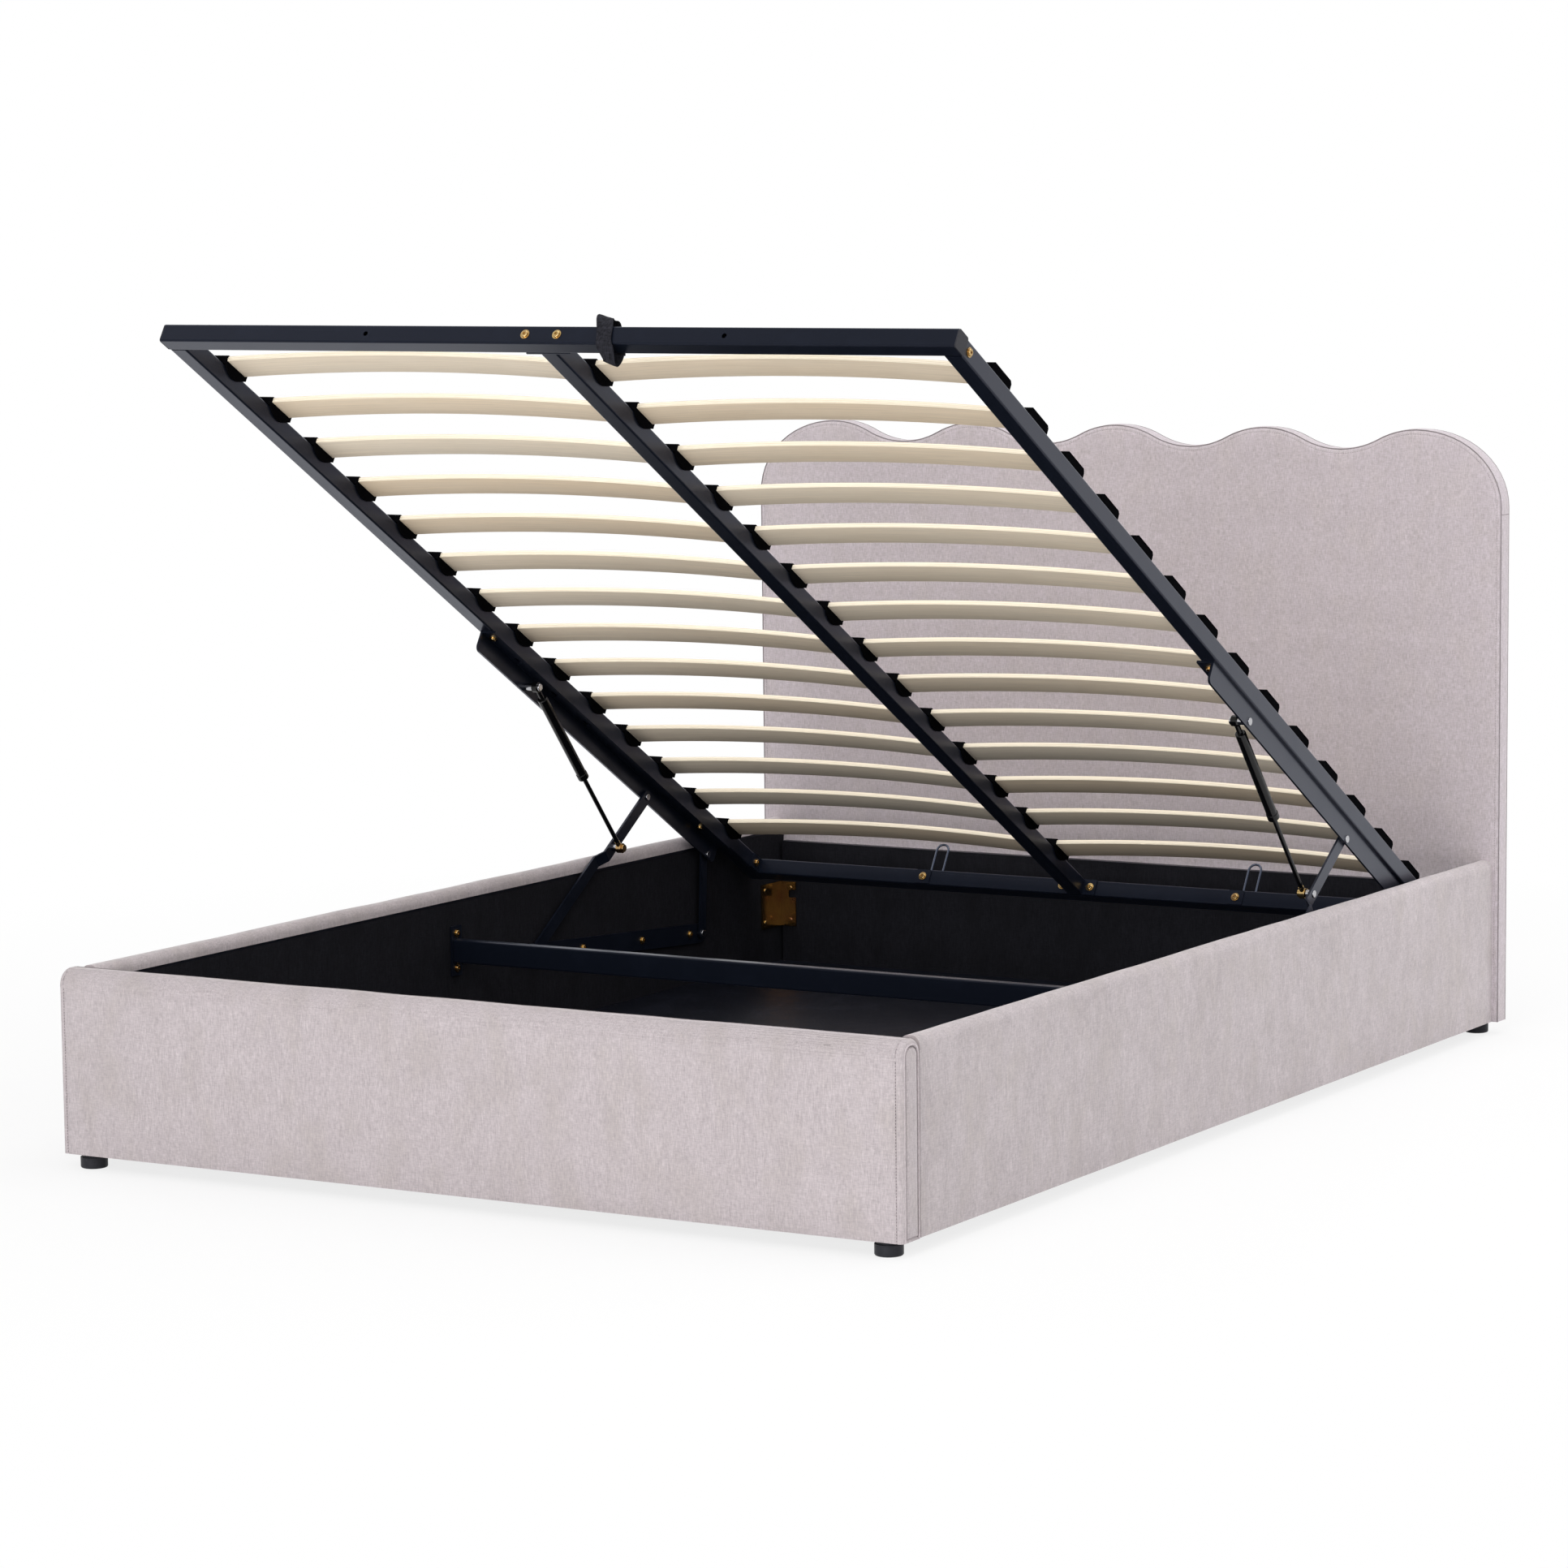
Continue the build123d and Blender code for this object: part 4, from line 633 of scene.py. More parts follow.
FOOTBOARD_CELLS, RAIL_CELLS = (70, 4, 14), (2, 90, 14)
SWELL_POWER = 10  # how flat the swell stays across before it falls to the ends
FRONT_START, FRONT_FULL = 0.008, 0.02  # from the footboard's middle to where it starts and is full
ROW_CLEARANCE = 0.004  # from a row of stitches to the swell
CROWN_HEIGHT = 0.02  # of the crown that ripples
CROWN_ACROSS = 0.2  # least swell across, where the crown still ripples
RAIL_PUFF = 0.8  # swell of the rails as a share of the footboard's
RAIL_ENDS = 40  # the swell fades within one in so many parts of a rail's length
RAIL_SKIN = 0.012  # depth of the rail's cover that swells
BOXING_INSET = 0.002  # from the headboard's box to its panels, before they are sewn in
BOXING_BULGE = 0.0018
BOXING_NEAR = 0.02  # from the headboard's side to what bulges outwards
BOXING_START = 0.01  # lowest bulge over the headboard's lower edge
JOINT_DROP, JOINT_INSET = 0.012, 0.004  # the side strip's joint under the shoulder and off the rims
JOINT_OUT, JOINT_BOW = 0.0004, 0.001  # the joint's seam off the side, and its bow in the middle
CROWN_SEGMENTS, END_SEGMENTS, RAIL_SEGMENTS = 9, 5, 7  # facets of the rounded edges
ARC_STEPS = 14  # of a shoulder and of a whole wave
SIDE_CUTS, BOXING_CUTS = 11, 5
MIRROR_MERGE = 1e-5


def sewn_end_strips(made, floor):
    """Sews in the footboard's end strips, and returns the paths of their piping and of the dark
    painted-shade lines in their seam valleys.
    """
    piping, seam_shade_paths = [], []
    for side in (-1, 1):
        end = max(made.faces, key=lambda face: side * face.calc_center_median().x)
        for paths, steps in ((piping, STRIP_ROLL), (seam_shade_paths, STRIP_VALLEY)):
            groove(made, end, steps)
            paths.append(open_at_bottom(loop_path(end), floor))
        groove(made, end, STRIP_FACE)
    return piping, seam_shade_paths


def stitched_over_crown(made, row_x, low, bend):
    """The path of a row of stitches up the front, over the crown and down the rear."""
    ring = [vert for vert in made.verts
            if abs(vert.co.x - row_x) < TOUCH and vert.co.z > low[2] + TOUCH]
    arch = [vert for vert in ring if vert.co.z > bend.z + TOUCH]
    upright = [vert for vert in ring if vert.co.z <= bend.z + TOUCH]
    front = sorted((vert for vert in upright if vert.co.y < bend.y), key=lambda vert: vert.co.z)
    rear = sorted((vert for vert in upright if vert.co.y > bend.y), key=lambda vert: -vert.co.z)
    arch.sort(key=lambda vert: vert.co.y)
    start = Vector((row_x, low[1], low[2] + STITCH_START))
    return [start, *(vert.co.copy() for vert in front + arch + rear)]


def open_behind_lining(made, covers, high):
    """Takes out the rear of the footboard's cover where the lining lies over it."""
    cloth_low, cloth_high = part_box("lining_foot")
    top = min(cloth_high[2], high[2] - covers.fabric_return) - LINING_LAP
    for place in (cloth_low[0] + LINING_LAP, cloth_high[0] - LINING_LAP):
        cut(made, (place, 0, 0), (1, 0, 0))
    for place in (cloth_low[2] + LINING_LAP, top):
        cut(made, (0, 0, place), (0, 0, 1))
    behind = [face for face in made.faces
              if face.calc_center_median().z < top
              and all(abs(vert.co.y - high[1]) < TOUCH and vert.co.z > cloth_low[2]
                      and cloth_low[0] < vert.co.x < cloth_high[0] for vert in face.verts)]
    bmesh.ops.delete(made, geom=behind, context="FACES")


def swell_footboard(made, covers, low, high, row_x):
    """Swells the padding between its seams, ripples the cloth and pulls the stitched rows in."""
    middle_y = (low[1] + high[1]) / 2
    made.normal_update()
    for vert in made.verts:
        place = vert.co.copy()
        if abs(abs(place.x) - row_x) < TOUCH:
            vert.co -= vert.normal * PULLED_IN
            continue
        across = max(0.0, 1 - abs(place.x / high[0]) ** SWELL_POWER)
        swell = covers.puff * across * dome((place.z - low[2]) / (high[2] - low[2]))
        if place.y < middle_y - FRONT_START and abs(place.x) < row_x - ROW_CLEARANCE:
            forward = min(1.0, (middle_y - place.y) / FRONT_FULL)
            vert.co.y -= (swell + rippled(place, FRONT_RIPPLES) * across) * forward
        if place.z > high[2] - CROWN_HEIGHT and across > CROWN_ACROSS:
            vert.co.z += across * rippled(place, CROWN_RIPPLES)


class BED_OT_footboard_cover(bpy.types.Operator):
    """Padded cover of the footboard, with a round top, rolled ends and sewn end strips"""
    bl_idname = "bed.footboard_cover"
    bl_label = "Footboard cover"

    def execute(self, context):
        covers = context.scene.bed_covers
        low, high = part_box("footboard_upholstery")
        made = block(low, high)
        crown = [edge for edge in made.edges
                 if all(vert.co.z > high[2] - TOUCH for vert in edge.verts)
                 and abs(edge.verts[0].co.x - edge.verts[1].co.x) > TOUCH]
        bevelled(made, crown, covers.crown_radius, CROWN_SEGMENTS)
        rims = [edge for edge in made.edges
                if all(abs(abs(vert.co.x) - high[0]) < TOUCH for vert in edge.verts)
                and max(vert.co.z for vert in edge.verts) > low[2] + TOUCH]
        bevelled(made, rims, covers.end_radius, END_SEGMENTS)
        piping, seam_shade_paths = sewn_end_strips(made, low[2] + END_EDGE_BAND)
        row_x = high[0] - covers.border
        for side in (-1, 1):
            for place in (row_x - PULLED_HALF, row_x, row_x + PULLED_HALF):
                cut(made, (side * place, 0, 0), (1, 0, 0))
        bend = Vector((0, (low[1] + high[1]) / 2, high[2] - covers.crown_radius))
        rows = [stitched_over_crown(made, side * row_x, low, bend) for side in (-1, 1)]
        sliced(made, low, high, FOOTBOARD_CELLS)
        open_behind_lining(made, covers, high)
        swell_footboard(made, covers, low, high, row_x)
        bmesh.ops.recalc_face_normals(made, faces=made.faces)
        keep_cover("footboard_cover", made, "footboard_pile", "footboard_upholstery")
        # the piping's pale tint is a painted highlight along the end strips' rims
        keep_trim("footboard_piping", tube_mesh(piping, covers.piping_radius), "pale_seam")
        # dark tubes in the end strips' seam valleys: painted shade lines
        keep_trim("footboard_seams", tube_mesh(seam_shade_paths, covers.piping_radius * SEAM_SHADE_SHARE),
                  "seam_thread")
        keep_trim("footboard_stitching", stitch_mesh(rows, covers.stitch_pitch, STITCH_RADIUS),
                  "seam_thread")
        return {"FINISHED"}


def swell_rail(made, covers, low, high, side):
    """Swells the padding on a rail's outer side and ripples its cloth."""
    outer = high[0] if side > 0 else low[0]
    for vert in made.verts:
        place = vert.co.copy()
        along = (place.y - low[1]) / (high[1] - low[1])
        ends = min(1.0, min(along, 1 - along) * RAIL_ENDS)
        swell = covers.puff * RAIL_PUFF * ends * dome((place.z - low[2]) / (high[2] - low[2]))
        inside = abs(place.x - outer)
        if inside < RAIL_SKIN:
            outward = side * (swell + rippled(place, RAIL_RIPPLES)) * ends
            vert.co.x += outward * (1 - inside / RAIL_SKIN)
        if place.z > high[2] - RAIL_SKIN:
            vert.co.z += rippled(place, RAIL_TOP_RIPPLES) * ends


class BED_OT_rail_covers(bpy.types.Operator):
    """Padded covers of the side rails"""
    bl_idname = "bed.rail_covers"
    bl_label = "Rail covers"

    def execute(self, context):
        covers = context.scene.bed_covers
        for side, side_name in ((-1, "left"), (1, "right")):
            node = f"side_rail_upholstery_{side_name}"
            low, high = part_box(node)
            made = block(low, high)
            long_edges = [edge for edge in made.edges
                          if all(vert.co.z > high[2] - TOUCH for vert in edge.verts)
                          and abs(edge.verts[0].co.x - edge.verts[1].co.x) < TOUCH]
            bevelled(made, long_edges, covers.edge_radius, RAIL_SEGMENTS)
            sliced(made, low, high, RAIL_CELLS)
            swell_rail(made, covers, low, high, side)
            inner = low[0] if side > 0 else high[0]
            drop = [face for face in made.faces
                    if all(abs(vert.co.x - inner) < TOUCH for vert in face.verts)
                    and face.calc_center_median().z < high[2] - covers.fabric_return]
            bmesh.ops.delete(made, geom=drop, context="FACES")
            keep_cover(f"rail_cover_{side_name}", made, "brushed_pile", node)
        return {"FINISHED"}


def swept(made, start, centre, angle, steps):
    """Sweeps one corner round a centre in the upright plane and returns the last corner."""
    last = bmesh.ops.spin(made, geom=[start], cent=centre, axis=(0, 1, 0), dvec=(0, 0, 0),
                          angle=angle, steps=steps, use_merge=False, use_duplicate=False)
    return only(last["geom_last"], bmesh.types.BMVert)[0]


def headboard_face(covers, low, high, depth_y):
    """The headboard's outline filled with one face: upright sides, round shoulders and waves."""
    made = bmesh.new()
    run, rise = covers.shoulder_run, covers.shoulder_rise
    outer_peak, peak = high[0] - run, high[2]
    first = made.verts.new((run, 0, 0))
    last = swept(made, first, (0, 0, 0), -pi / 2, ARC_STEPS)
    bmesh.ops.scale(made, vec=(1, 1, rise / run), verts=made.verts)
    bmesh.ops.translate(made, vec=(outer_peak, depth_y, peak - rise), verts=made.verts)
    bmesh.ops.extrude_vert_indiv(made, verts=[first])["verts"][0].co.z = low[2]
    quarter = outer_peak / (covers.waves - 1) / 2
    sagitta = covers.valley_depth / 2
    radius = (quarter ** 2 + sagitta ** 2) / (2 * sagitta)
    reach = asin(quarter / radius)
    for index in range(covers.waves):
        crest, half = index % 2 == 0, index in (0, covers.waves - 1)
        centre = (outer_peak - 2 * index * quarter, depth_y,
                  peak - radius if crest else peak - covers.valley_depth + radius)
        last = swept(made, last, centre, (-1 if crest else 1) * reach * (1 if half else 2),
                     ARC_STEPS // 2 if half else ARC_STEPS)
    sides = [edge for edge in made.edges if edge.calc_length() > covers.shoulder_rise]
    bmesh.ops.subdivide_edges(made, edges=sides, cuts=SIDE_CUTS)
    bmesh.ops.mirror(made, geom=made.verts[:] + made.edges[:], axis="X", merge_dist=MIRROR_MERGE)
    bottom = [vert for vert in made.verts if vert.co.z < low[2] + TOUCH]
    bmesh.ops.contextual_create(made, geom=bottom)
    bmesh.ops.contextual_create(made, geom=made.edges[:])
    return made


def swell_boxing(made, covers, low, high, depth):
    """Swells the strip of cloth round the headboard's edge, which is depth wide."""
    middle = (low[1] + high[1]) / 2
    for vert in made.verts:
        place = vert.co
        if abs(place.y - middle) < depth / 2 - BOXING_INSET and place.z > low[2] + BOXING_START:
            bulge = BOXING_BULGE * (1 - ((place.y - middle) / (depth / 2)) ** 2)
            if abs(place.x) > high[0] - BOXING_NEAR:
                vert.co.x += bulge if place.x > 0 else -bulge
            if place.z > high[2] - covers.shoulder_rise:
                vert.co.z += bulge


class BED_OT_headboard_cover(bpy.types.Operator):
    """Padded cover of the headboard, with a wavy top, sewn edges and a boxed side strip"""
    bl_idname = "bed.headboard_cover"
    bl_label = "Headboard cover"

    def execute(self, context):
        covers = context.scene.bed_covers
        low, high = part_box("headboard_upholstery")
        made = headboard_face(covers, low, high, high[1] - BOXING_INSET)
        back = made.faces[:][0]
        depth = high[1] - low[1] - 2 * BOXING_INSET
        grown = bmesh.ops.extrude_face_region(made, geom=[back], use_keep_orig=True)["geom"]
        bmesh.ops.translate(made, vec=(0, -depth, 0), verts=only(grown, bmesh.types.BMVert))
        front = only(grown, bmesh.types.BMFace)[0]
        bmesh.ops.recalc_face_normals(made, faces=made.faces)
        across = [edge for edge in made.edges
                  if abs(edge.verts[0].co.y - edge.verts[1].co.y) > TOUCH]
        bmesh.ops.subdivide_edges(made, edges=across, cuts=BOXING_CUTS)
        seams, rows = [], []
        for face in (front, back):
            seams.append(open_at_bottom(loop_path(face), low[2] + STITCH_START))
            groove(made, face, (*PANEL_ROLL, (covers.border - PANEL_ROLL_REACH, 0.0), PANEL_VALLEY))
            if face is front:
                rows.append(open_at_bottom(loop_path(face), low[2] + covers.border + STITCH_START))
            groove(made, face, PANEL_FACE)
        swell_boxing(made, covers, low, high, depth)
        keep_cover("headboard_cover", made, "headboard_pile", "headboard_upholstery")
        joint_z = high[2] - covers.shoulder_rise - JOINT_DROP
        for side in (-1, 1):
            face_x = side * (high[0] + JOINT_OUT)
            seams.append([(face_x, low[1] + JOINT_INSET, joint_z),
                          (face_x + side * JOINT_BOW, (low[1] + high[1]) / 2, joint_z),
                          (face_x, high[1] - JOINT_INSET, joint_z)])
        # the headboard's piping and side joints are thin tubes in the dark seam tint: painted shade
        # lines along its seams
        keep_trim("headboard_piping", tube_mesh(seams, covers.piping_radius * THIN_PIPING_SHARE),
                  "seam_thread")
        keep_trim("headboard_stitching", stitch_mesh(rows, covers.stitch_pitch, FINE_STITCH_RADIUS),
                  "seam_thread")
        return {"FINISHED"}


# Linings, strap and slats

# Each lining's inward axis and direction, the board behind it and the seed of its sag
LININGS = {
    "left": (0, 1, "side_rail_core_left", 5.3),
    "right": (0, -1, "side_rail_core_right", 6.3),
    "foot": (1, 1, "footboard_core", 5.3),
    "head": (1, -1, "head_end_panel", 5.3),
}
CLOTH_THICKNESS = 0.0004
CLOTH_CELL, CLOTH_ROWS = 0.03, 10
CLOTH_SLACK = 0.0011
CLOTH_RIM = 12  # the slack starts within one in so many parts of the height


def lining_sheet(low, high, axis, inward, seed):
    """A cloth on the inner side of a box, held at its rim and slack between, and its flat size."""
    along = 1 - axis
    width, height = high[along] - low[along], high[2] - low[2]
    inner_side = high[axis] if inward > 0 else low[axis]
    made = bmesh.new()
    bmesh.ops.create_grid(made, x_segments=int(width / CLOTH_CELL), y_segments=CLOTH_ROWS, size=0.5)
    for vert in made.verts:
        run, rise = vert.co.x * width, vert.co.y * height + (low[2] + high[2]) / 2
        rim = min(1.0, (0.5 - abs(vert.co.y)) * CLOTH_RIM)
        slack = CLOTH_SLACK * rim * (0.5 + 0.5 * ripple((run, rise * 0.6, 0), 7.0, seed))
        vert.co.z = rise
        vert.co[along] = (low[along] + high[along]) / 2 + run
        vert.co[axis] = inner_side - inward * (CLOTH_THICKNESS + slack)
    made.faces.ensure_lookup_table()
    made.normal_update()
    if made.faces[0].normal[axis] * inward < 0:
        bmesh.ops.reverse_faces(made, faces=made.faces)
    bmesh.ops.solidify(made, geom=made.faces[:], thickness=CLOTH_THICKNESS)
    return made, (width, height)


class BED_OT_linings(bpy.types.Operator):
    """Black cloth stapled to the inner sides"""
    bl_idname = "bed.linings"
    bl_label = "Linings"

    def execute(self, context):
        for name, (axis, inward, board, seed) in LININGS.items():
            low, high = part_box(f"lining_{name}")
            made, flat = lining_sheet(low, high, axis, inward, seed)
            sheet = keep_piece(f"lining_cloth_{name}", mesh_from(made), "base",
                               "black_lining", (f"lining_{name}",), smooth=60)
        return {"FINISHED"}


def deck_matrix(deck):
    """Places the deck's coordinates: across, from the foot end, and over the tubes' underside."""
    pivot = Vector(joints["deck_tilt"]["pos_m"])
    run = Vector((0, cos(deck.angle), -sin(deck.angle)))
    rise = Vector((0, sin(deck.angle), cos(deck.angle)))
    origin = Vector((0, pivot.y, pivot.z)) - run * deck.pivot_distance + rise * deck.pivot_depth
    columns = Matrix(((1, 0, 0), run, rise)).transposed().to_4x4()
    return Matrix.Translation(origin) @ columns


STRAP_TURNS = 1.12  # the loop and its lapped end
STRAP_STEPS = 78
STRAP_START = 2.8  # angle of the sewn end, on the slats' side
STRAP_LAP = 1.1  # how far the lapped end stands out, as a share of the thickness
STRAP_RUMPLES = ((0.0016, 3, 0.6), (0.0011, 5, 2.0))  # height, waves in a turn and start of each
STRAP_SWAY = 0.0016
STRAP_TWIST = 0.34
STRAP_THIN_EDGE = 0.55  # thickness of the selvedge as a share


def strap_frame(deck, turn):
    """Place and directions of the strap's section after so many turns, on the deck."""
    angle = tau * turn + STRAP_START
    lap = deck.strap_thickness * STRAP_LAP * turn ** 6
    rumple = sum(size * sin(waves * angle + start) for size, waves, start in STRAP_RUMPLES)
    depth = deck.strap_half_depth + lap + rumple * 0.4
    height = deck.strap_half_height + lap + rumple
    forward = min(depth * cos(angle), deck.tube / 2 + deck.strap_thickness)
    place = Vector((deck.strap_x - deck.strap_lean * sin(angle) + STRAP_SWAY * sin(4 * angle),
                    deck.tube / 2 - forward, deck.tube / 2 + height * sin(angle)))
    along = Vector((-deck.strap_lean * cos(angle), depth * sin(angle), height * cos(angle)))
    along.normalize()
    level = Vector((1, 0, 0)) - along * along.x
    across = (Matrix.Rotation(STRAP_TWIST * sin(angle) ** 3, 3, along) @ level).normalized()
    turned = Matrix((across, along.cross(across), along)).transposed().to_4x4()
    return Matrix.Translation(place) @ turned


class BED_OT_pull_strap(bpy.types.Operator):
    """Rumpled webbing loop round the foot tube, with its lapped and sewn end"""
    bl_idname = "bed.pull_strap"
    bl_label = "Pull strap"

    def execute(self, context):
        deck = context.scene.bed_deck
        made = bmesh.new()
        half, thick = deck.strap_width / 2, deck.strap_thickness / 2
        bmesh.ops.create_grid(made, x_segments=4, y_segments=1, size=1)
        bmesh.ops.scale(made, vec=(half, thick, 1), verts=made.verts)
        for vert in made.verts:
            if abs(vert.co.x) > half * 0.9:
                vert.co.y *= STRAP_THIN_EDGE
        before = strap_frame(deck, 0)
        bmesh.ops.transform(made, matrix=before, verts=made.verts)
        last = made.faces[:]
        for step in range(1, STRAP_STEPS + 1):
            after = strap_frame(deck, STRAP_TURNS * step / STRAP_STEPS)
            grown = bmesh.ops.extrude_face_region(made, geom=last, use_keep_orig=step == 1)["geom"]
            if step > 1:
                bmesh.ops.delete(made, geom=last, context="FACES_ONLY")
            bmesh.ops.transform(made, matrix=after @ before.inverted(),
                                verts=only(grown, bmesh.types.BMVert))
            before, last = after, only(grown, bmesh.types.BMFace)
        bmesh.ops.recalc_face_normals(made, faces=made.faces)
        bmesh.ops.transform(made, matrix=deck_matrix(deck), verts=made.verts)
        keep_piece("pull_strap_webbing", mesh_from(made), "deck", "strap_webbing",
                   ("pull_strap",), smooth=50)
        return {"FINISHED"}


SLAT_EASED, SLAT_SEGMENTS = 0.0011, 2  # rounding of a slat's long edges, and its facets
SLAT_CELLS = 26
GRAIN_SHIFT = 1.7  # from one slat's grain to the next one's
TONE_STEP, TONE_SPREAD = 1.37, 0.9  # how the tone wanders from slat to slat


def slat_column(slats, side):
    """One column of bowed slats, each with its own place in the grain and its own tone."""
    half_run = (slats.outer_end - slats.inner_end) / 2
    radius = (half_run ** 2 + slats.crown ** 2) / (2 * slats.crown)
    middle = side * (slats.outer_end + slats.inner_end) / 2
    made = block((-half_run, -slats.width / 2, 0), (half_run, slats.width / 2, slats.thickness))
    long_edges = [edge for edge in made.edges
                  if abs(edge.verts[0].co.x - edge.verts[1].co.x) > half_run]
    bevelled(made, long_edges, SLAT_EASED, SLAT_SEGMENTS)
    sliced(made, (-half_run, 0, 0), (half_run, 0, 0), (SLAT_CELLS, 1, 1))
    spot = made.verts.layers.float_vector.new("slat_place")
    tone = made.verts.layers.float.new("slat_tone")
    for vert in made.verts:
        vert[spot] = (vert.co.x, vert.co.y, vert.co.z / slats.thickness)
        vert.co.z += slats.crown - radius + sqrt(radius ** 2 - vert.co.x ** 2)
    bmesh.ops.translate(made, vec=(middle, slats.first, slats.level), verts=made.verts)
    first = made.verts[:] + made.edges[:] + made.faces[:]
    for index in range(slats.count):
        grown = bmesh.ops.duplicate(made, geom=first)["geom"] if index else first
        verts = only(grown, bmesh.types.BMVert)
        bmesh.ops.translate(made, vec=(0, index * slats.pitch, 0), verts=verts)
        shade = 0.5 + TONE_SPREAD * ripple((index * TONE_STEP, side * 2.1, 0.4), 1.0, 3.3)
        for vert in verts:
            vert[spot] += Vector((index * GRAIN_SHIFT, 0, 0))
            vert[tone] = min(1.0, max(0.0, shade))
    return made


class BED_OT_slats(bpy.types.Operator):
    """Bowed plywood slats with eased edges"""
    bl_idname = "bed.slats"
    bl_label = "Slats"

    def execute(self, context):
        for side, side_name in ((-1, "left"), (1, "right")):
            made = slat_column(context.scene.bed_slats, side)
            bmesh.ops.transform(made, matrix=deck_matrix(context.scene.bed_deck), verts=made.verts)
            bmesh.ops.recalc_face_normals(made, faces=made.faces)
            keep_piece(f"ply_slats_{side_name}", mesh_from(made), "deck",
                       "birch_veneer", (f"slats_{side_name}",))
        return {"FINISHED"}


class BED_OT_slat_veneer(bpy.types.Operator):
    """Finish of the slats, with grain along each slat and glue lines in its edges"""
    bl_idname = "bed.slat_veneer"
    bl_label = "Slat veneer"

    def execute(self, context):
        slats = context.scene.bed_slats
        FINISHES["birch_veneer"] = surface(
            "birch_veneer", "ply",
            {"Half width": slats.width / 2, "Warm": tuple(slats.wood),
             "Grey": tuple(slats.wood_grey), "Edge": tuple(slats.edge),
             "Glue": tuple(slats.edge_dark)},
            0.0002, 0.3, {"Place": ("slat_place", "Vector"), "Tone": ("slat_tone", "Fac")},
            Specular_IOR_Level=0.35)
        return {"FINISHED"}


# Finishes of the nodes that keep their CAD shape

NODE_FINISHES = {
    "satin_steel": (
        "crossbar", "crossbar_brackets", "lift_base_bracket_left", "lift_base_bracket_right",
        "long_link_left", "long_link_right", "short_link_left", "short_link_right",
        "lift_arm_left", "lift_arm_right", "deck_rail_left", "deck_rail_right",
        "deck_centre_rail", "deck_foot_tube", "deck_head_tube", "retainer_clamps"),
    "gloss_black": (
        "strut_cylinder_left", "strut_cylinder_right", "strut_rod_left", "strut_rod_right"),
    "wire_enamel": ("mattress_retainer_loops",),
    "yellow_zinc": (
        "corner_brackets", "corner_bracket_screws", "panel_bolts", "deck_frame_bolts",
        "strut_lower_eye_left", "strut_lower_eye_right"),
    "bright_steel": (
        "base_pivot_pins", "arm_pivot_studs", "long_link_rivet_left", "long_link_rivet_right",
        "strut_lower_stud_left", "strut_lower_stud_right"),
    "black_plastic": ("floor_feet", "corner_feet", "tube_end_plugs"),
    "holder_plastic": ("slat_holders_left", "slat_holders_centre", "slat_holders_right"),
    "faced_board": (
        "footboard_core", "side_rail_core_left", "side_rail_core_right", "headboard_core",
        "head_end_panel", "floor_panels", "floor_battens", "floor_centre_beam"),
}


class BED_OT_node_finishes(bpy.types.Operator):
    """Paint, plating, plastic and board on the parts that keep their CAD shape"""
    bl_idname = "bed.node_finishes"
    bl_label = "Node finishes"

    def execute(self, context):
        for finish, names in NODE_FINISHES.items():
            for name in names:
                mesh = frame["nodes"][name].data
                mesh.materials.clear()
                mesh.materials.append(material_named(finish))
        return {"FINISHED"}


# Stage, lights and camera

FLOOR_HALF = 14
FLOOR_NEAR, FLOOR_FAR = 1.4, 3.0  # from the bed's middle
NEAR_GLOW, FAR_GLOW = 0.80, 1.0  # share of the floor that is white light in place of a shadow
WORLD_LIGHT = 0.50  # plain level that lights the bed
SEEN_WORLD = 0.50  # added where the world is seen

# Place, aim, size, watts and spread in degrees of each softbox, and whether it shows in reflections
SOFTBOXES = {
    "key_softbox": ((1.4, -4.4, 3.4), (0.0, -0.4, 0.3), (3.0, 2.2), 58, 180, True),
    "front_softbox": ((0.4, -9.4, 1.7), (0.0, 0.0, 0.6), (5.0, 2.6), 215, 180, True),
    "side_softbox": ((4.4, 1.0, 2.6), (0.0, 0.2, 0.4), (2.6, 2.6), 40, 180, False),
    "top_softbox": ((0.6, 0.2, 4.2), (0.2, 0.1, 0.0), (3.0, 3.0), 66, 180, True),
    "rim_softbox": ((3.0, 3.9, 2.2), (0.5, 1.0, 0.7), (1.8, 1.8), 26, 180, False),
    "left_softbox": ((-4.2, 1.4, 2.6), (0.0, 0.4, 0.5), (2.4, 2.4), 34, 180, True),
    "deck_softbox": ((-0.7, -3.9, 0.95), (-0.35, -0.55, 1.12), (0.9, 0.5), 1.2, 34, True),
}

CAMERA_PLACE = (4.0552, -6.9763, 1.4561)
CAMERA_YAW, CAMERA_PITCH, CAMERA_ROLL = radians(29.664), radians(-7.289), radians(-0.491)
CAMERA_LENS, SENSOR_WIDTH = 113.40, 36  # in millimetres
CAMERA_SHIFT = (-0.0566, 0.0363)
CAMERA_REACH = 60


def cleared(holder):
    """The empty node tree of a material or a world."""
    holder.use_nodes = True
    holder.node_tree.nodes.clear()
    return holder.node_tree


def seen_rays(tree):
    """One for the rays of the camera and of reflections and glass, and nought for the others."""
    ray = add_node(tree, "ShaderNodeLightPath").outputs
    mirrored = math_node(tree, "MAXIMUM", ray["Is Glossy Ray"], ray["Is Transmission Ray"])
    return math_node(tree, "MAXIMUM", ray["Is Camera Ray"], mirrored)


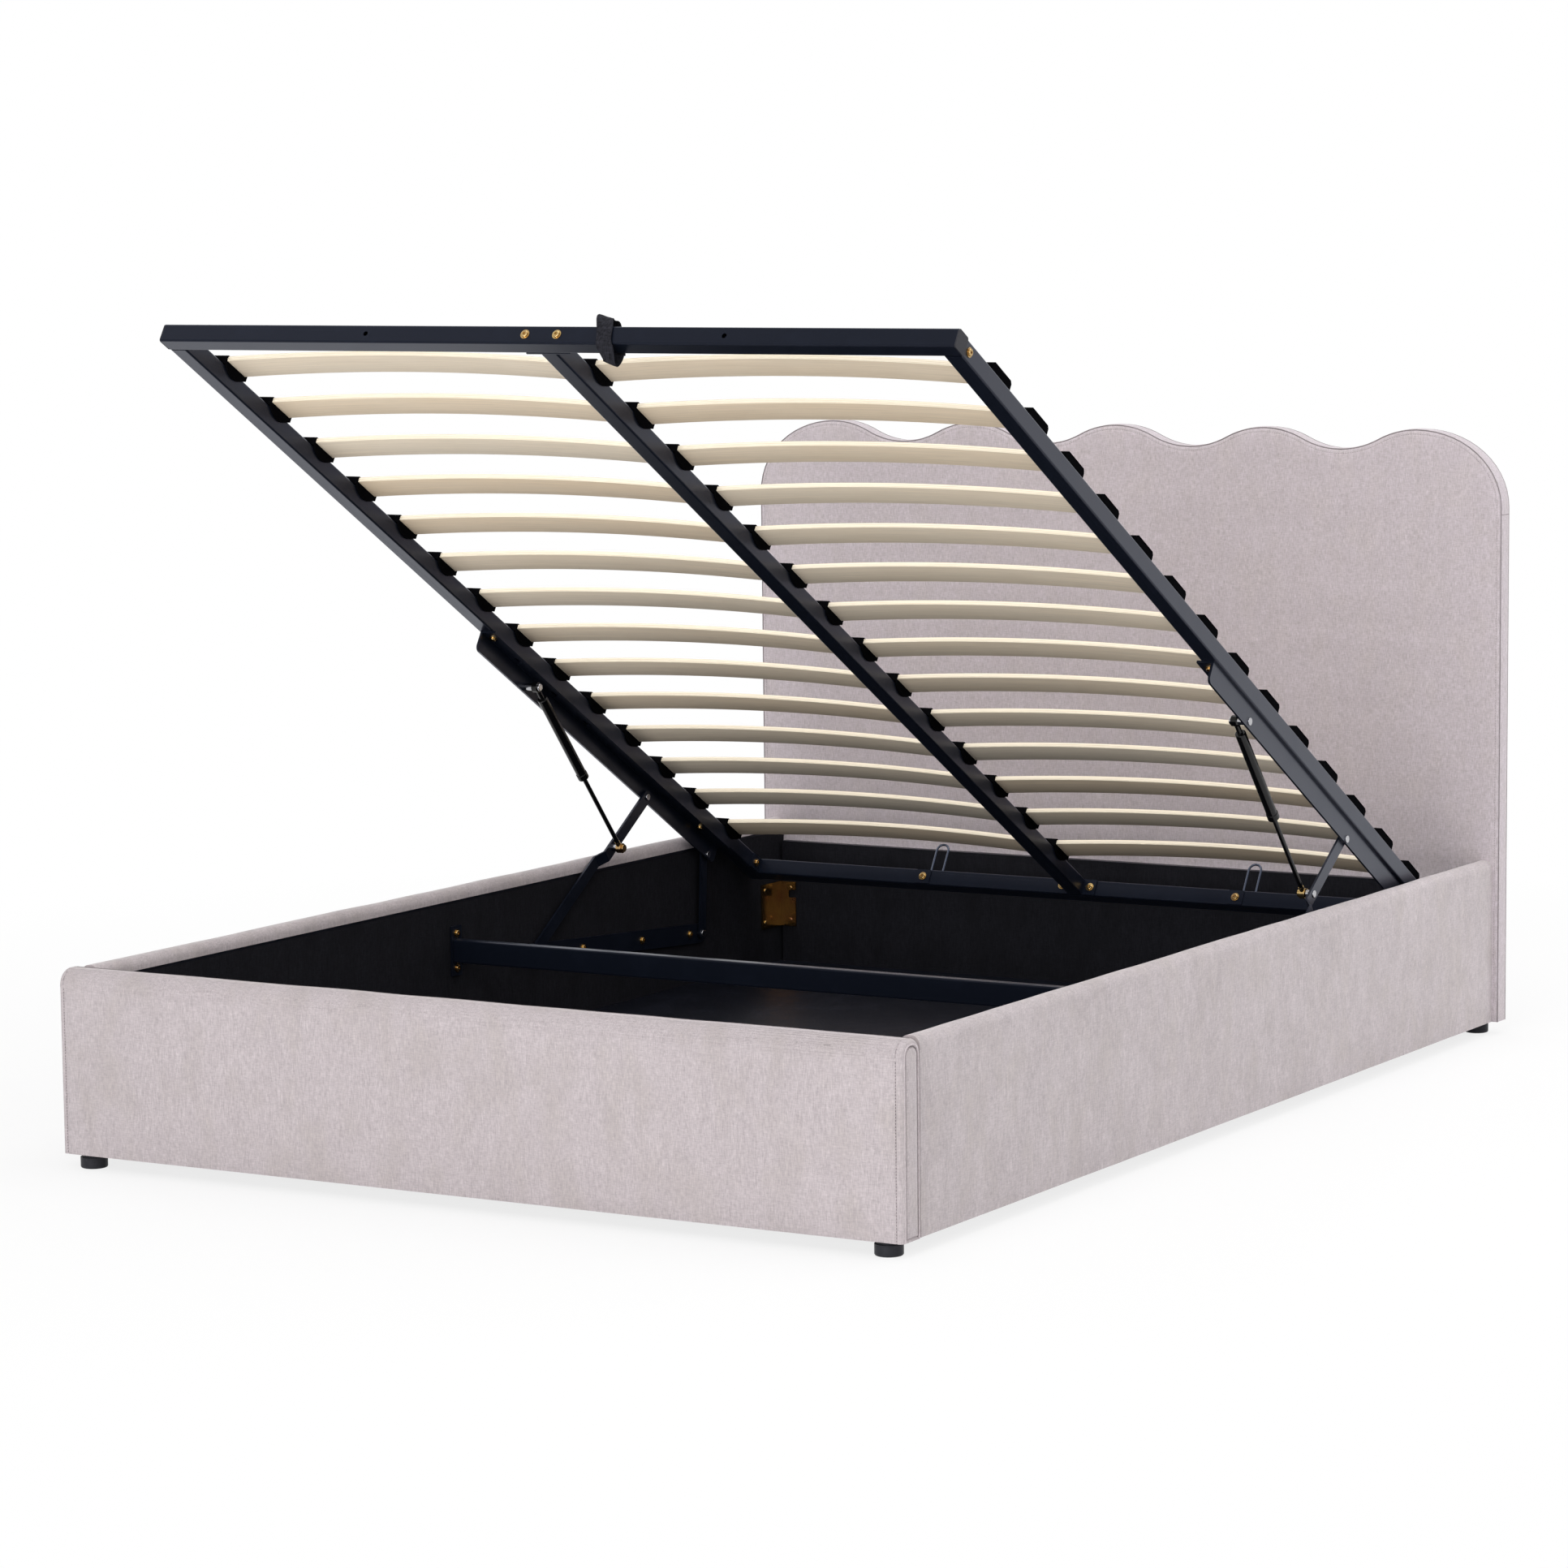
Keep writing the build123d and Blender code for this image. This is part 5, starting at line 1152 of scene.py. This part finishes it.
def add_floor(scene):
    """A pale floor that takes a shadow near the bed and glows like the world farther off."""
    made = bmesh.new()
    bmesh.ops.create_grid(made, x_segments=1, y_segments=1, size=FLOOR_HALF)
    mesh = mesh_from(made)
    mesh.name = "studio_floor"
    floor = bpy.data.objects.new("studio_floor", mesh)
    scene.collection.objects.link(floor)
    material = bpy.data.materials.new("studio_floor")
    tree = cleared(material)
    diffuse = add_node(tree, "ShaderNodeBsdfDiffuse", {"Color": tuple(scene.bed_finish.backdrop)})
    glow = add_node(tree, "ShaderNodeEmission", {"Color": (1, 1, 1), "Strength": 1.0})
    place = add_node(tree, "ShaderNodeTexCoord").outputs["Object"]
    reach = add_node(tree, "ShaderNodeVectorMath", {0: place}, operation="LENGTH").outputs["Value"]
    seen = math_node(tree, "MULTIPLY", seen_rays(tree),
                     ranged(tree, reach, FLOOR_NEAR, FLOOR_FAR, NEAR_GLOW, FAR_GLOW))
    mix = add_node(tree, "ShaderNodeMixShader",
                   {0: seen, 1: diffuse.outputs[0], 2: glow.outputs[0]})
    add_node(tree, "ShaderNodeOutputMaterial", {"Surface": mix.outputs[0]})
    mesh.materials.append(material)


def add_world(scene):
    """A white world that is seen brighter than it lights."""
    scene.world = bpy.data.worlds.new("studio_world")
    tree = cleared(scene.world)
    shown = math_node(tree, "MULTIPLY", seen_rays(tree), SEEN_WORLD)
    strength = math_node(tree, "ADD", WORLD_LIGHT, shown)
    background = add_node(tree, "ShaderNodeBackground", {"Color": (1, 1, 1), "Strength": strength})
    add_node(tree, "ShaderNodeOutputWorld", {"Surface": background.outputs[0]})


def add_softboxes(scene):
    """The lamps, each turned from its place to its aim."""
    for name, (place, aim, size, power, spread, reflected) in SOFTBOXES.items():
        lamp = bpy.data.lights.new(name, "AREA")
        lamp.shape = "RECTANGLE"
        lamp.size, lamp.size_y = size
        lamp.energy = power
        lamp.spread = radians(spread)
        holder = bpy.data.objects.new(name, lamp)
        holder.location = place
        holder.rotation_euler = (Vector(aim) - Vector(place)).to_track_quat("-Z", "Y").to_euler()
        holder.visible_glossy = reflected
        scene.collection.objects.link(holder)


def add_camera(scene):
    """The camera of the photograph."""
    camera = bpy.data.cameras.new("photo_camera")
    camera.lens, camera.sensor_width = CAMERA_LENS, SENSOR_WIDTH
    camera.shift_x, camera.shift_y = CAMERA_SHIFT
    camera.clip_end = CAMERA_REACH
    forward = Vector((-sin(CAMERA_YAW) * cos(CAMERA_PITCH), cos(CAMERA_YAW) * cos(CAMERA_PITCH),
                      sin(CAMERA_PITCH)))
    right = Vector((cos(CAMERA_YAW), sin(CAMERA_YAW), 0))
    up = right.cross(forward)
    rolled_right = right * cos(CAMERA_ROLL) + up * sin(CAMERA_ROLL)
    rolled_up = up * cos(CAMERA_ROLL) - right * sin(CAMERA_ROLL)
    turn = Matrix((rolled_right, rolled_up, -forward)).transposed().to_4x4()
    holder = bpy.data.objects.new("photo_camera", camera)
    holder.matrix_world = Matrix.Translation(CAMERA_PLACE) @ turn
    scene.collection.objects.link(holder)
    scene.camera = holder


class BED_OT_stage(bpy.types.Operator):
    """Pale floor, soft studio light and the camera of the photograph"""
    bl_idname = "bed.stage"
    bl_label = "Stage"

    def execute(self, context):
        scene = context.scene
        add_floor(scene)
        add_world(scene)
        add_softboxes(scene)
        add_camera(scene)
        scene.view_settings.view_transform = "Standard"
        return {"FINISHED"}


OPERATORS = (
    BED_OT_footboard_cover, BED_OT_rail_covers, BED_OT_headboard_cover, BED_OT_linings,
    BED_OT_slat_veneer, BED_OT_slats, BED_OT_pull_strap, BED_OT_node_finishes, BED_OT_stage,
)


class BED_PT_dressing(bpy.types.Panel):
    """Lists the bed's settings and the pieces that can be made"""
    bl_idname = "BED_PT_dressing"
    bl_label = "Storage Bed"
    bl_space_type = "VIEW_3D"
    bl_region_type = "UI"
    bl_category = "Storage Bed"

    def draw(self, context):
        for attribute, group in SETTINGS.items():
            box = self.layout.box()
            for name in group.__annotations__:
                box.prop(getattr(context.scene, attribute), name)
        for operator in OPERATORS:
            self.layout.operator(operator.bl_idname)


def register():
    for attribute, group in SETTINGS.items():
        bpy.utils.register_class(group)
        setattr(bpy.types.Scene, attribute, bpy.props.PointerProperty(type=group))
    for item in (*OPERATORS, BED_PT_dressing):
        bpy.utils.register_class(item)


def unregister():
    for item in (BED_PT_dressing, *reversed(OPERATORS)):
        bpy.utils.unregister_class(item)
    for attribute, group in SETTINGS.items():
        delattr(bpy.types.Scene, attribute)
        bpy.utils.unregister_class(group)


def main():
    register()
    for operator in OPERATORS:
        getattr(bpy.ops.bed, operator.bl_idname.split(".")[1])()


if __name__ == "__main__":
    main()
